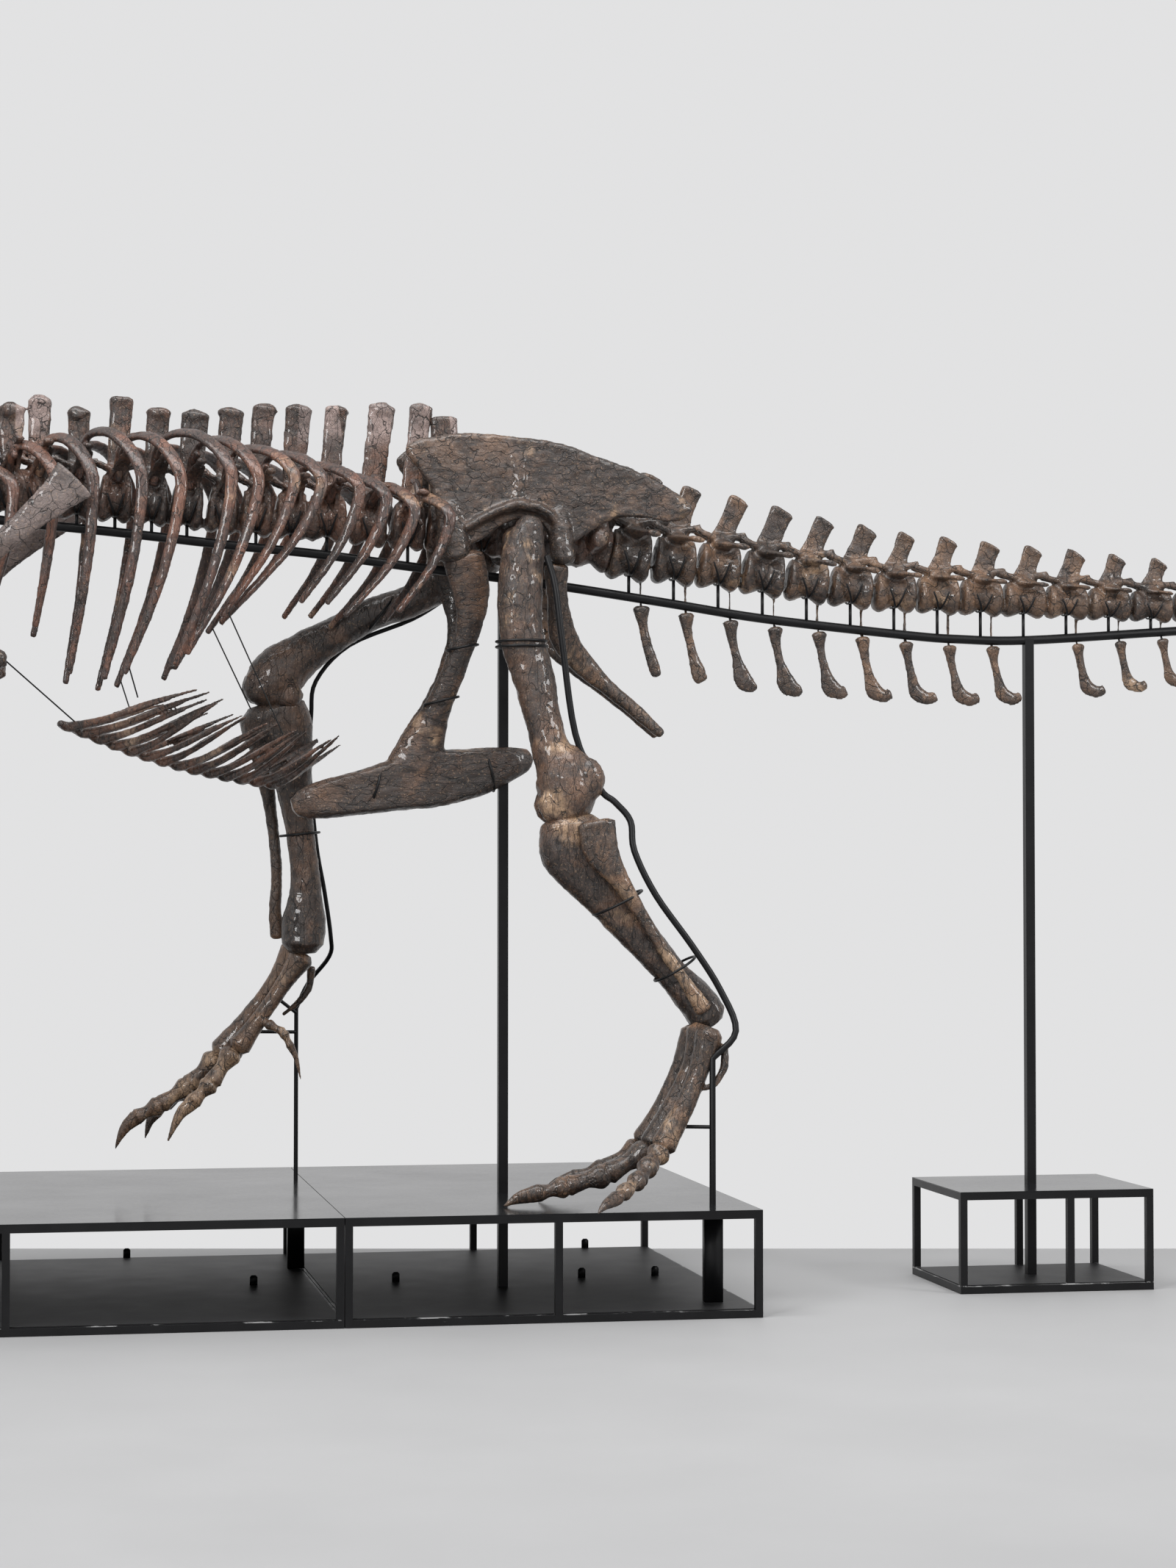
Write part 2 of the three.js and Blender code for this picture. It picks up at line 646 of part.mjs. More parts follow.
// One toe: waisted bones that get smaller, then a claw, drawn as one body.
function digit(s, { bones, tip, size }) {
  const stations = [];
  const at = (a, b, t, r) => [mix(a[0], b[0], t), s * mix(a[1], b[1], t), mix(a[2], b[2], t), r];
  for (let i = 0; i < bones.length - 1; i += 1) {
    const thick = size * 0.9 ** i;
    stations.push(at(bones[i], bones[i + 1], 0.06, thick));
    stations.push(at(bones[i], bones[i + 1], 0.5, thick * 0.66));
    stations.push(at(bones[i], bones[i + 1], 0.92, thick * 0.88));
  }
  const root = bones[bones.length - 1];
  const thick = size * 0.78 * 0.92 ** (bones.length - 2);
  const middle = [mix(root[0], tip[0], 0.55), mix(root[1], tip[1], 0.55), mix(root[2], tip[2], 0.38)];
  stations.push([root[0], s * root[1], root[2], thick]);
  stations.push([middle[0], s * middle[1], middle[2], thick * 0.66]);
  stations.push([tip[0], s * tip[1], tip[2], 5]);
  return tube(stations, 5);
}

// Three toes end against the foot bones, tied at their roots by the pad joint block.
function toes(s, leg) {
  const roots = leg.toes.map(({ bones }) => bones[0]);
  const bridge = tube(roots.map(([x, y, z]) => [x, s * y, z, 26, 26]), 5, [0, 0, 1]);
  return join([bridge, ...leg.toes.map((toe) => digit(s, toe))]);
}

function hallux(s, leg) {
  return digit(s, { ...leg.hallux, size: 24 });
}

// Tail: the x of every vertebra, closer together as they get smaller.
function tailPlaces() {
  const places = [];
  let x = TAIL.first;
  let pitch = TAIL.pitch;
  for (let i = 0; i < TAIL.count; i += 1) {
    places.push({ x, pitch, t: i / (TAIL.count - 1) });
    x += pitch;
    if (i > 11) {
      pitch *= TAIL.shrink;
    }
  }
  const scale = (TAIL.last - TAIL.first) / (places[TAIL.count - 1].x - TAIL.first);
  return places.map((spot) => ({
    ...spot, x: TAIL.first + (spot.x - TAIL.first) * scale, pitch: spot.pitch * scale,
  }));
}

function tailRadius(t) {
  return mix(94, 17, Math.min(1, t * 1.06) ** 0.8);
}

function tailBone({ x, pitch, t }, i) {
  return within(onSpine(x), () => arch({
    length: pitch, radius: tailRadius(t), top: mix(355, 60, t ** 0.62), width: mix(96, 44, t),
    thick: mix(30, 14, t), lean: mix(78, 30, Math.min(1, t * 2)),
    wings: i < 10 ? mix(240, 105, i / 9) : 0, wingRise: tailRadius(t) * 0.8, wingBack: 42,
  }));
}

// A chevron hangs behind each drum: its root passes the rail on the far side, then it drops in
// the midline to a blade that leans back.
function chevron({ x, pitch, t }, i) {
  const cx = x + pitch * 0.3;
  const bottom = heightOn(SPINE_LINE, cx) - tailRadius(t) * 0.7;
  const rail = heightOn(RAIL_LINE, cx);
  const long = mix(300, 70, Math.min(1, t * 1.35));
  const thick = mix(22, 9, t);
  const fork = rail - RAIL_RADIUS - 18;
  const clear = RAIL_RADIUS + 13;
  const back = long * 0.2;
  const foot = i > 5 ? mix(50, 30, t) : 14;
  return tube([
    [cx, clear, bottom, 12, 8], [cx, clear, rail - 8, 11, 8], [cx + 4, 2, fork - 14, thick, 10],
    [cx + back + foot * 0.6, 0, fork - long, thick, 9],
  ], 3);
}

function tail(from, to) {
  const spots = tailPlaces().map((spot, i) => ({ ...spot, i }))
    .filter(({ x }) => x >= from && x < to);
  const chain = drums(spots.map(({ x, pitch, t }) => ({ x, length: pitch, radius: tailRadius(t) })), 6);
  const arches = spots.filter(({ i }) => i < 25).map((spot) => tailBone(spot, spot.i));
  const hanging = spots.filter(({ i }) => i < CHEVRONS && i !== POST_CHEVRON)
    .map((spot) => chevron(spot, spot.i));
  return join([chain, ...arches, ...hanging]);
}

// Skull: x runs from the snout back, z is up from the tooth row, in its own frame.
const SKULL = { snout: -4585, toothRow: 3520, length: 1370, tilt: -0.06 };
const SKULL_RINGS = [
  { x: 0, wide: 62, top: 135, low: 20 },
  { x: 70, wide: 104, top: 232, low: -8 },
  { x: 220, wide: 122, top: 318, low: -26 },
  { x: 420, wide: 138, top: 366, low: -42 },
  { x: 620, wide: 156, top: 392, low: -34 },
  { x: 770, wide: 190, top: 420, low: -8 },
  { x: 890, wide: 246, top: 462, low: 2 },
  { x: 1030, wide: 292, top: 458, low: -20 },
  { x: 1170, wide: 304, top: 450, low: -92 },
  { x: 1262, wide: 270, top: 446, low: -120 },
  { x: 1340, wide: 190, top: 438, low: 70 },
];
const SKULL_OPENINGS = [
  { x: 170, z: 232, rx: 74, rz: 44 },
  { x: 366, z: 148, rx: 30, rz: 44 },
  { x: 545, z: 186, rx: 118, rz: 108 },
  { x: 862, z: 292, rx: 52, rz: 104 },
  { x: 1068, z: 232, rx: 76, rz: 138 },
];

function skullFrame() {
  const frame = new THREE.Matrix4().makeTranslation(SKULL.snout, 0, SKULL.toothRow);
  return frame.multiply(new THREE.Matrix4().makeRotationY(SKULL.tilt));
}

function skullRing({ x, wide, top, low }, inset = 0) {
  const w = wide - inset;
  const roof = top - inset;
  const high = mix(low, roof, 0.72);
  return [
    [w * 0.5, roof], [w * 0.84, high + (roof - high) * 0.5], [w, mix(low, roof, 0.42)], [w * 0.93, low],
    [-w * 0.93, low], [-w, mix(low, roof, 0.42)], [-w * 0.84, high + (roof - high) * 0.5], [-w * 0.5, roof],
  ].map(([y, z]) => new THREE.Vector3(x, y, z));
}

function oval({ x, z, rx, rz }, points = 8) {
  return Array.from({ length: points }, (_, i) => {
    const turn = (2 * Math.PI * i) / points;
    return [x + rx * Math.cos(turn), z + rz * Math.sin(turn)];
  });
}

// Teeth along a jaw: x from front to back, on both sides, pointing down or up.
function teeth({ count, from, to, width, root, long, down, radius }) {
  const rows = [];
  for (let i = 0; i < count; i += 1) {
    const t = i / (count - 1);
    const x = mix(from, to, t);
    const reach = long * (0.55 + 0.45 * Math.sin(Math.PI * Math.min(1, t * 0.9 + 0.14)));
    const y = width(x);
    const z = root(x);
    for (const s of [-1, 1]) {
      rows.push(spike([x, s * y, z], [x + 16, s * (y - 4), z + down * (reach + 34)], radius, 4));
    }
  }
  return rows;
}

function skullWidth(x) {
  return heightOn(SKULL_RINGS.map((ring) => [ring.x, ring.wide * 0.86]), x);
}

function skullLow(x) {
  return heightOn(SKULL_RINGS.map((ring) => [ring.x, ring.low]), x);
}

function skull() {
  return within(skullFrame(), () => {
    const shell = loft(SKULL_RINGS.map((ring) => skullRing(ring)));
    const brow = [-1, 1].map((s) => tube([
      [330, s * 66, 362, 18], [760, s * 136, 440, 34], [985, s * 216, 420, 44],
    ], 5));
    const openings = SKULL_OPENINGS.map((hole) => plate(oval(hole), 0, 900, 0));
    const roofHoles = [-1, 1].map((s) => tube([
      [1150, s * 96, 330, 78, 52], [1150, s * 96, 640, 84, 56],
    ], 8));
    const inner = SKULL_RINGS.slice(1, -1).map((ring) => ({
      ...ring, wide: ring.wide - 40, top: ring.top - 46, low: -400,
    }));
    const hollow = loft(inner.map((ring) => skullRing(ring)));
    const back = tube([[1215, 0, 60, 190, 150], [1420, 0, 20, 190, 150]], 6);
    const brain = tube([[760, 0, 330, 60, 60], [1200, 0, 250, 92, 92], [1335, 0, 205, 78, 110]], 6);
    const condyle = ball([1352, 0, 150], 36, 40, 40);
    const cutHead = cut(join([shell, ...brow]), [...openings, ...roofHoles, hollow, back]);
    return join([
      cutHead, brain, condyle,
      ...teeth({
        count: 9, from: 44, to: 690, width: skullWidth, root: (x) => skullLow(x) + 18,
        long: 92, down: -1, radius: 19,
      }),
    ]);
  });
}

const JAW = { hinge: [1236, -150], open: 0.2 };
function mandible() {
  const hinge = new THREE.Matrix4().makeTranslation(JAW.hinge[0], 0, JAW.hinge[1]);
  const swing = new THREE.Matrix4().makeRotationY(-JAW.open);
  const opened = hinge.clone().multiply(swing).multiply(hinge.clone().invert());
  const halfWidth = (x) => mix(52, 236, (x / 1240) ** 0.85);
  return within(skullFrame().multiply(opened), () => {
    const rami = [-1, 1].map((s) => tube([
      [40, s * 40, -118, 44, 30], [160, s * halfWidth(160), -128, 62, 28],
      [420, s * halfWidth(420), -132, 66, 26], [700, s * halfWidth(700), -150, 82, 24],
      [900, s * halfWidth(900), -156, 108, 22], [1060, s * halfWidth(1060), -160, 100, 24],
      [1180, s * halfWidth(1180), -176, 56, 34], [1236, s * halfWidth(1236), -180, 34, 46],
      [1320, s * (halfWidth(1236) - 8), -190, 24, 26],
    ], 6));
    const chin = ball([66, 0, -124], 52, 60, 50);
    return join([
      ...rami, chin,
      ...teeth({
        count: 8, from: 80, to: 640, width: (x) => halfWidth(x) - 4, root: () => -90,
        long: 66, down: 1, radius: 16,
      }),
    ]);
  });
}

// Steel: the rail under the backbone with a post and saddle under each vertebra.
const STRUT = 7;
function strut(x, radius) {
  const top = heightOn(SPINE_LINE, x) - radius * WAIST + 6;
  return block([x - STRUT, -STRUT, heightOn(RAIL_LINE, x)], [x + STRUT, STRUT, top]);
}

function rail(from, to, struts) {
  const inner = RAIL_LINE.filter(([x]) => x > from + 20 && x < to - 20);
  const ends = [from, to].map((x) => [x, heightOn(RAIL_LINE, x)]);
  const line = [ends[0], ...inner, ends[1]].map(([x, z]) => [x, 0, z]);
  return join([rod(line, RAIL_RADIUS, 8), ...struts]);
}

function trunkRail() {
  const step = (NECK.to - NECK.from) / (NECK.count - 1);
  const neckStruts = [1, 4, 7].map((i) => strut(NECK.from + i * step, neckRadius(i)));
  const backStruts = BACK.filter((_, i) => i % 2 === 0).map(({ x }) => strut(x, BACK_RADIUS));
  return rail(-3190, 60, [...neckStruts, ...backStruts, strut(-248, 84)]);
}

function tailRail(from, to, every) {
  const struts = tailPlaces()
    .filter(({ x }, i) => x > from && x < to && i % every === 0)
    .map(({ x, t }) => strut(x, tailRadius(t)));
  return rail(from, to, struts);
}

function post(x, half = POST / 2) {
  return block([x - half, -half, 0], [x + half, half, heightOn(RAIL_LINE, x) + 6]);
}

// The bars that carry the legs follow the bones, with half rings round the thigh.
const LEFT_ROD = {
  base: [755, -640], width: 13.5,
  path: [
    [755, -640, 330], [755, -640, 1010], [858, -615, 1120], [800, -575, 1290], [690, -555, 1465],
    [545, -530, 1670], [462, -500, 1850], [452, -470, 1972], [392, -448, 2050], [330, -430, 2110],
    [232, -420, 2330], [178, -420, 2700], [150, -410, 2935], [120, -385, 3060],
  ],
};
const RIGHT_ROD = {
  base: [-790, 800], width: 9.5,
  path: [
    [-790, 800, 330], [-790, 800, 1170], [-740, 780, 1280], [-655, 705, 1400], [-655, 650, 1490],
    [-690, 590, 1690], [-730, 545, 1890], [-765, 510, 2230], [-760, 480, 2440], [-742, 455, 2590],
    [-600, 440, 2745], [-330, 420, 2860], [-170, 400, 2960],
  ],
};
function legRod({ base, width, path }, extras) {
  const [x, y] = base;
  return join([
    tube(path.map((point) => [...point, width]), 5, [0.3, 1, 0]),
    block([x - 36, y - 30, TABLE_TOP - PLATE - 70], [x + 36, y + 30, TABLE_TOP - PLATE - GAP]),
    ...extras.map(([a, b, r]) => rod([a, b], r, 5, [0.2, 0.3, 1])),
  ]);
}

// Thin wires hang the belly ribs from the chest ribs, and one steadies the arm.
function wire(a, b) {
  return rod([a, b], 3.2, 5, [0.3, 0.2, 1]);
}

function bellyWire(s, rowIndex, rank) {
  const row = BACK[rowIndex];
  const end = ribPath(row, s).getPoint(0.985).toArray();
  const [x, z] = bellyTip(rank);
  const [mx, mz] = bellyRow(rank);
  const t = 0.86;
  return wire(end, [mix(mx, x, t), s * BELLY.reach * 0.93, mix(mz, z, t)]);
}

// The table: square tubes round a plate, with legs and cross bars between.
function tableFrame([x0, x1], [y0, y1], crossX) {
  const top = TABLE_TOP - PLATE - GAP;
  const xs = [x0, ...crossX.map((x) => x - TUBE / 2), x1 - TUBE];
  const bars = [];
  for (const z of [0, top - TUBE]) {
    for (const y of [y0, y1 - TUBE]) {
      bars.push(block([x0, y, z], [x1, y + TUBE, z + TUBE]));
    }
    for (const x of xs) {
      bars.push(block([x, y0, z], [x + TUBE, y1, z + TUBE]));
    }
  }
  for (const x of xs) {
    for (const y of [y0, y1 - TUBE]) {
      bars.push(block([x, y, 0], [x + TUBE, y + TUBE, top]));
    }
  }
  return join(bars);
}

function tablePlate([x0, x1], [y0, y1]) {
  return block([x0, y0, TABLE_TOP - PLATE], [x1, y1, TABLE_TOP]);
}

function lowerSheet([x0, x1], [y0, y1]) {
  const z = TUBE + GAP;
  const inset = TUBE + 1;
  return block([x0 + 12, y0 + inset, z], [x1 - 12, y1 - inset, z + SHEET]);
}

function pedestalX(x) {
  return [x - PEDESTAL.length / 2, x + PEDESTAL.length / 2];
}
const PEDESTAL_Y = [-PEDESTAL.width / 2, PEDESTAL.width / 2];

// Finishes, from the photograph: brown bone, redder ribs, black steel and grey plates.
const FINISH = {
  bone: { color: 0x3a2418, roughness: 0.42, metalness: 0 },
  rib: { color: 0x4a2a1c, roughness: 0.45, metalness: 0 },
  steel: { color: 0x141416, roughness: 0.4, metalness: 0.6 },
  plate: { color: 0x3c3d40, roughness: 0.25, metalness: 0.3 },
  wire: { color: 0x6f6a62, roughness: 0.4, metalness: 0.9 },
};

// Earlier nodes win: each one carves its own seat, with the gap, out of those after it.
const NODES = [
  ['stand_rail_trunk', 'steel', trunkRail],
  ['stand_rail_tail', 'steel', () => tailRail(60.8, 2720, 2)],
  ['stand_rail_tail_end', 'steel', () => tailRail(2720.8, 6120, 3)],
  ['stand_post_hip', 'steel', () => post(0)],
  ['stand_post_tail', 'steel', () => post(TAIL_POST_X)],
  ['stand_post_front', 'steel', () => post(FRONT_POST_X)],
  ['stand_leg_rod_left', 'steel', () => legRod(LEFT_ROD, [
    [[755, -640, 735], [640, -600, 735], 8],
    [[180, -420, 2690], [95, -402, 2690], 14],
  ])],
  ['stand_leg_rod_right', 'steel', () => legRod(RIGHT_ROD, [
    [[-790, 800, 1150], [-905, 655, 1235], 8],
    [[-790, 800, 1066], [-1040, 690, 1075], 8],
  ])],
  ['stand_belly_wire_1', 'wire', () => bellyWire(-1, 4, 0)],
  ['stand_belly_wire_2', 'wire', () => bellyWire(1, 4, 0)],
  ['stand_belly_wire_3', 'wire', () => bellyWire(-1, 7, 5)],
  ['stand_belly_wire_4', 'wire', () => bellyWire(1, 7, 5)],
  ['stand_arm_wire', 'wire', () => wire([-2068, -322, 2612], [-1770, -20, 2372])],
  ['stand_frame_front', 'steel', () => tableFrame(FRONT_X, TABLE_Y, [FRONT_CROSS_X])],
  ['stand_frame_rear', 'steel', () => tableFrame(REAR_X, TABLE_Y, [REAR_CROSS_X])],
  ['stand_frame_tail', 'steel', () => tableFrame(pedestalX(TAIL_POST_X), PEDESTAL_Y, [TAIL_POST_X + 60])],
  ['stand_plate_front', 'plate', () => tablePlate(FRONT_X, TABLE_Y)],
  ['stand_plate_rear', 'plate', () => tablePlate(REAR_X, TABLE_Y)],
  ['stand_plate_tail', 'plate', () => tablePlate(pedestalX(TAIL_POST_X), PEDESTAL_Y)],
  ['stand_sheet_front', 'plate', () => lowerSheet(FRONT_X, TABLE_Y)],
  ['stand_sheet_rear', 'plate', () => lowerSheet(REAR_X, TABLE_Y)],
  ['stand_sheet_tail', 'plate', () => lowerSheet(pedestalX(TAIL_POST_X), PEDESTAL_Y)],
  ['femur_left', 'bone', () => femur(-1, LEFT)],
  ['femur_right', 'bone', () => femur(1, RIGHT)],
  ['tibia_left', 'bone', () => legBone(-1, LEFT.tibia)],
  ['tibia_right', 'bone', () => legBone(1, RIGHT.tibia)],
  ['fibula_left', 'bone', () => legBone(-1, LEFT.fibula, 6)],
  ['fibula_right', 'bone', () => legBone(1, RIGHT.fibula, 6)],
  ['metatarsus_left', 'bone', () => metatarsus(-1, LEFT)],
  ['metatarsus_right', 'bone', () => metatarsus(1, RIGHT)],
  ['toes_left', 'bone', () => toes(-1, LEFT)],
  ['toes_right', 'bone', () => toes(1, RIGHT)],
  ['hallux_left', 'bone', () => hallux(-1, LEFT)],
  ['hallux_right', 'bone', () => hallux(1, RIGHT)],
  ['sacrum', 'bone', sacrum],
  ['ilium_left', 'bone', () => ilium(-1)],
  ['ilium_right', 'bone', () => ilium(1)],
  ['pubis', 'bone', pubis],
  ['ischium', 'bone', ischium],
  ['scapula_left', 'bone', () => scapula(-1)],
  ['scapula_right', 'bone', () => scapula(1)],
  ['trunk_left', 'rib', () => trunk(-1)],
  ['trunk_right', 'rib', () => trunk(1)],
  ['upper_arm_left', 'bone', () => armBone(-1, SHOULDER, ELBOW, 25, 44)],
  ['upper_arm_right', 'bone', () => armBone(1, SHOULDER, ELBOW, 25, 44)],
  ['forearm_left', 'bone', () => forearm(-1)],
  ['forearm_right', 'bone', () => forearm(1)],
  ['gastralia', 'rib', gastralia],
  ['tail_base', 'bone', () => tail(0, TAIL_SPLITS[0])],
  ['tail_middle', 'bone', () => tail(TAIL_SPLITS[0], TAIL_SPLITS[1])],
  ['tail_end', 'bone', () => tail(TAIL_SPLITS[1], 9000)],
  ['neck', 'bone', neck],
  ['skull', 'bone', skull],
  ['mandible', 'bone', mandible],
];

function boxesMeet(a, b) {
  return [0, 1, 2].every((i) => a.min[i] <= b.max[i] && b.min[i] <= a.max[i]);
}

function toMesh(name, finish, body) {
  const { vertProperties, triVerts } = body.getMesh();
  const geometry = new THREE.BufferGeometry();
  geometry.setAttribute('position', new THREE.BufferAttribute(new Float32Array(vertProperties), 3));
  geometry.setIndex(Array.from(triVerts));
  geometry.computeVertexNormals();
  const mesh = new THREE.Mesh(geometry, new THREE.MeshStandardMaterial(FINISH[finish]));
  mesh.name = name;
  return mesh;
}

const mount = new THREE.Group();
const seated = [];
for (const [name, finish, make] of NODES) {
  const cutter = grown(GAP, make);
  const reach = cutter.boundingBox();
  const body = seated
    .filter((other) => boxesMeet(other.reach, reach))
    .reduce((left, other) => left.subtract(other.cutter), make());
  mount.add(toMesh(name, finish, largest(body)));
  seated.push({ cutter, reach });
}

export default mount;
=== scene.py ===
# %% [markdown]
# # A mounted skeleton, life size
# The real thing is a fossil skeleton of a great two legged meat eater, held in a walking pose by a
# steel rail, posts and bars on low tables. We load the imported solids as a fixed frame, and then
# dress every bone with a finer mesh that lies where its solid lies.

# %% Load the frame
import math
import random

import bmesh
import bpy
import numpy as np
from mathutils import Euler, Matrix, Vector


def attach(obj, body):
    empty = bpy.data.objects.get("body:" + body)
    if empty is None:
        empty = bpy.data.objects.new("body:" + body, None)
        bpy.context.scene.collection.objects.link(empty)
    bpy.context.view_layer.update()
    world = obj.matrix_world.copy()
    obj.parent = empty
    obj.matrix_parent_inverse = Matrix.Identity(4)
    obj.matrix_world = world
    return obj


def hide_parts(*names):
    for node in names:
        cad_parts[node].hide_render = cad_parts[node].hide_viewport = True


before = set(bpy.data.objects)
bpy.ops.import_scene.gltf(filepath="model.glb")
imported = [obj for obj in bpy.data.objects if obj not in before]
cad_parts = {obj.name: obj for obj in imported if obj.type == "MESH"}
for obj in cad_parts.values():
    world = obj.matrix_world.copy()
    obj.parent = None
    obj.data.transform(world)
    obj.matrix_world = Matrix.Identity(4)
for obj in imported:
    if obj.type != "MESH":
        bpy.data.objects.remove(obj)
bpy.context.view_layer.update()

# %% [markdown]
# ## The maker's drawing
# Bones are drawn in millimetres, with +X towards the tail, -Y on the near left side and +Z up.
# The rail and the line of the backbone are two lists of x and z, and everything else hangs on them.

# %% Rail, backbone and tables
MM = 0.001
RAIL_RADIUS = 19.5
RAIL = [
    (-3190, 3655), (-2990, 3605), (-2800, 3530), (-2640, 3425), (-2480, 3320), (-2300, 3250),
    (-2085, 3205), (-1615, 3165), (-1140, 3120), (-775, 3090), (-390, 3045), (0, 3003),
    (280, 2970), (710, 2910), (1130, 2850), (1750, 2790), (2000, 2775), (2310, 2775),
    (2990, 2825), (3900, 2890), (4700, 2935), (5500, 2960), (6120, 2965),
]
SPINE = [
    (-3190, 3745), (-3050, 3728), (-2900, 3690), (-2760, 3620), (-2620, 3530), (-2460, 3430),
    (-2300, 3365), (-2060, 3328), (-1660, 3308), (-1375, 3285), (-1075, 3258), (-715, 3240),
    (-390, 3212), (0, 3185), (350, 3150), (540, 3110), (925, 3070), (1305, 3015), (1645, 2975),
    (2170, 2955), (2935, 2930), (3900, 2962), (4700, 2990), (5500, 3002), (6250, 2995),
]


def mix(a, b, t):
    return a + (b - a) * t


def height(line, x):
    return float(np.interp(x, [p[0] for p in line], [p[1] for p in line]))


def slope(x):
    return math.atan2(height(SPINE, x + 60) - height(SPINE, x - 60), 120)


# %% [markdown]
# ## Clay skins
# Each bone starts as a few closed skins, like clay rolled over wire. A smooth curve runs through
# the stations, an oval ring stands at each step, and both ends are rounded off with a smaller ring.

# %% Sweeps, slabs and lumps
def trace(rows, steps):
    """A smooth curve through rows of numbers."""
    points = np.array(rows, float)
    ends = np.vstack([2 * points[0] - points[1], points, 2 * points[-1] - points[-2]])
    out = []
    for i in range(len(points) - 1):
        a, b, c, d = ends[i:i + 4]
        for j in range(steps):
            t = j / steps
            out.append(0.5 * (2 * b + (c - a) * t + (2 * a - 5 * b + 4 * c - d) * t * t
                              + (3 * b - a - 3 * c + d) * t ** 3))
    out.append(points[-1])
    return np.array(out)


def unit(rows):
    return rows / np.maximum(np.linalg.norm(rows, axis=-1, keepdims=True), 1e-9)


def skin(rings):
    """A closed skin over rings with the same number of points."""
    count, sides = rings.shape[:2]
    faces = []
    for i in range(count - 1):
        for j in range(sides):
            k = (j + 1) % sides
            faces.append((i * sides + j, i * sides + k, (i + 1) * sides + k, (i + 1) * sides + j))
    faces.append(tuple(range(sides))[::-1])
    faces.append(tuple((count - 1) * sides + j for j in range(sides)))
    return rings.reshape(-1, 3), faces


def sweep(stations, sides=14, side=(0, 1, 0), steps=4, square=2.0, blunt=0.45):
    """A bone through stations of x, y, z, radius, and radius along the given side."""
    rows = [list(s) if len(s) == 5 else [*s, s[3]] for s in stations]
    path = trace(rows, steps)
    path[:, 3:] = np.maximum(path[:, 3:], 1.2)
    along = unit(np.gradient(path[:, :3], axis=0))
    first, last = path[0].copy(), path[-1].copy()
    first[:3] -= along[0] * blunt * min(first[3:])
    last[:3] += along[-1] * blunt * min(last[3:])
    first[3:] *= 0.62
    last[3:] *= 0.62
    path = np.vstack([first, path, last])
    along = np.vstack([along[:1], along, along[-1:]])
    across = np.array(side, float) - along * (along @ np.array(side, float))[:, None]
    across = unit(across)
    other = np.cross(along, across)
    turn = (np.arange(sides) + 0.5) * 2 * math.pi / sides
    wide = np.sign(np.cos(turn)) * np.abs(np.cos(turn)) ** (2 / square)
    deep = np.sign(np.sin(turn)) * np.abs(np.sin(turn)) ** (2 / square)
    rings = (path[:, None, :3]
             + across[:, None, :] * (path[:, 4:5] * wide)[:, :, None]
             + other[:, None, :] * (path[:, 3:4] * deep)[:, :, None])
    return skin(rings)


def slab(outline, y, thick, rim=0.94, steps=3):
    """A flat bone from an outline in x and z, with a thinner rim."""
    closed = list(outline) + [outline[0]]
    edge = trace(closed, steps)[:-1]
    middle = edge.mean(axis=0)
    rings = []
    for scale, out in ((rim, -0.5), (1.0, -0.22), (1.0, 0.22), (rim, 0.5)):
        flat = middle + (edge - middle) * scale
        rings.append(np.column_stack([flat[:, 0], np.full(len(flat), y + out * thick), flat[:, 1]]))
    return skin(np.array(rings))


def lump(centre, rx, ry, rz):
    """A rounded knob."""
    cx, cy, cz = centre
    stations = []
    for i in range(7):
        a = math.pi * (i + 0.5) / 7
        stations.append((cx - rx * math.cos(a), cy, cz, rz * math.sin(a), ry * math.sin(a)))
    return sweep(stations, 12, steps=1)


def placed(skins, place):
    return [(place(verts), faces) for verts, faces in skins]


def on_spine(x):
    """Turns local points, with x along the backbone, into the row frame."""
    a = slope(x)
    origin = np.array([x, 0, height(SPINE, x)])
    axes = np.array([[math.cos(a), 0, math.sin(a)], [0, 1, 0], [-math.sin(a), 0, math.cos(a)]])
    return lambda verts: origin + verts @ axes


print("clay tools ready")

# %% [markdown]
# ## Shader arithmetic
# A finish is easier to read as a sum than as a web of links, so a small class wraps a socket and
# the signs + - * add the Math nodes. Every other node comes from one method, so that a finish
# below is one short list of what makes it.

# %% The socket class
class Wire:
    def __init__(self, graph, socket):
        self.graph = graph
        self.socket = socket

    def _math(self, operation, *values):
        return self.graph.node("ShaderNodeMath", {"operation": operation}, values)

    def __add__(self, other):
        return self._math("ADD", self, other)

    __radd__ = __add__

    def __sub__(self, other):
        return self._math("SUBTRACT", self, other)

    def __rsub__(self, other):
        return self._math("SUBTRACT", other, self)

    def __mul__(self, other):
        return self._math("MULTIPLY", self, other)

    __rmul__ = __mul__

    def above(self, low, high):
        """0 below low and 1 above high, smooth between."""
        return self.graph.node("ShaderNodeMapRange", {"interpolation_type": "SMOOTHSTEP"},
                               Value=self, From_Min=low, From_Max=high)


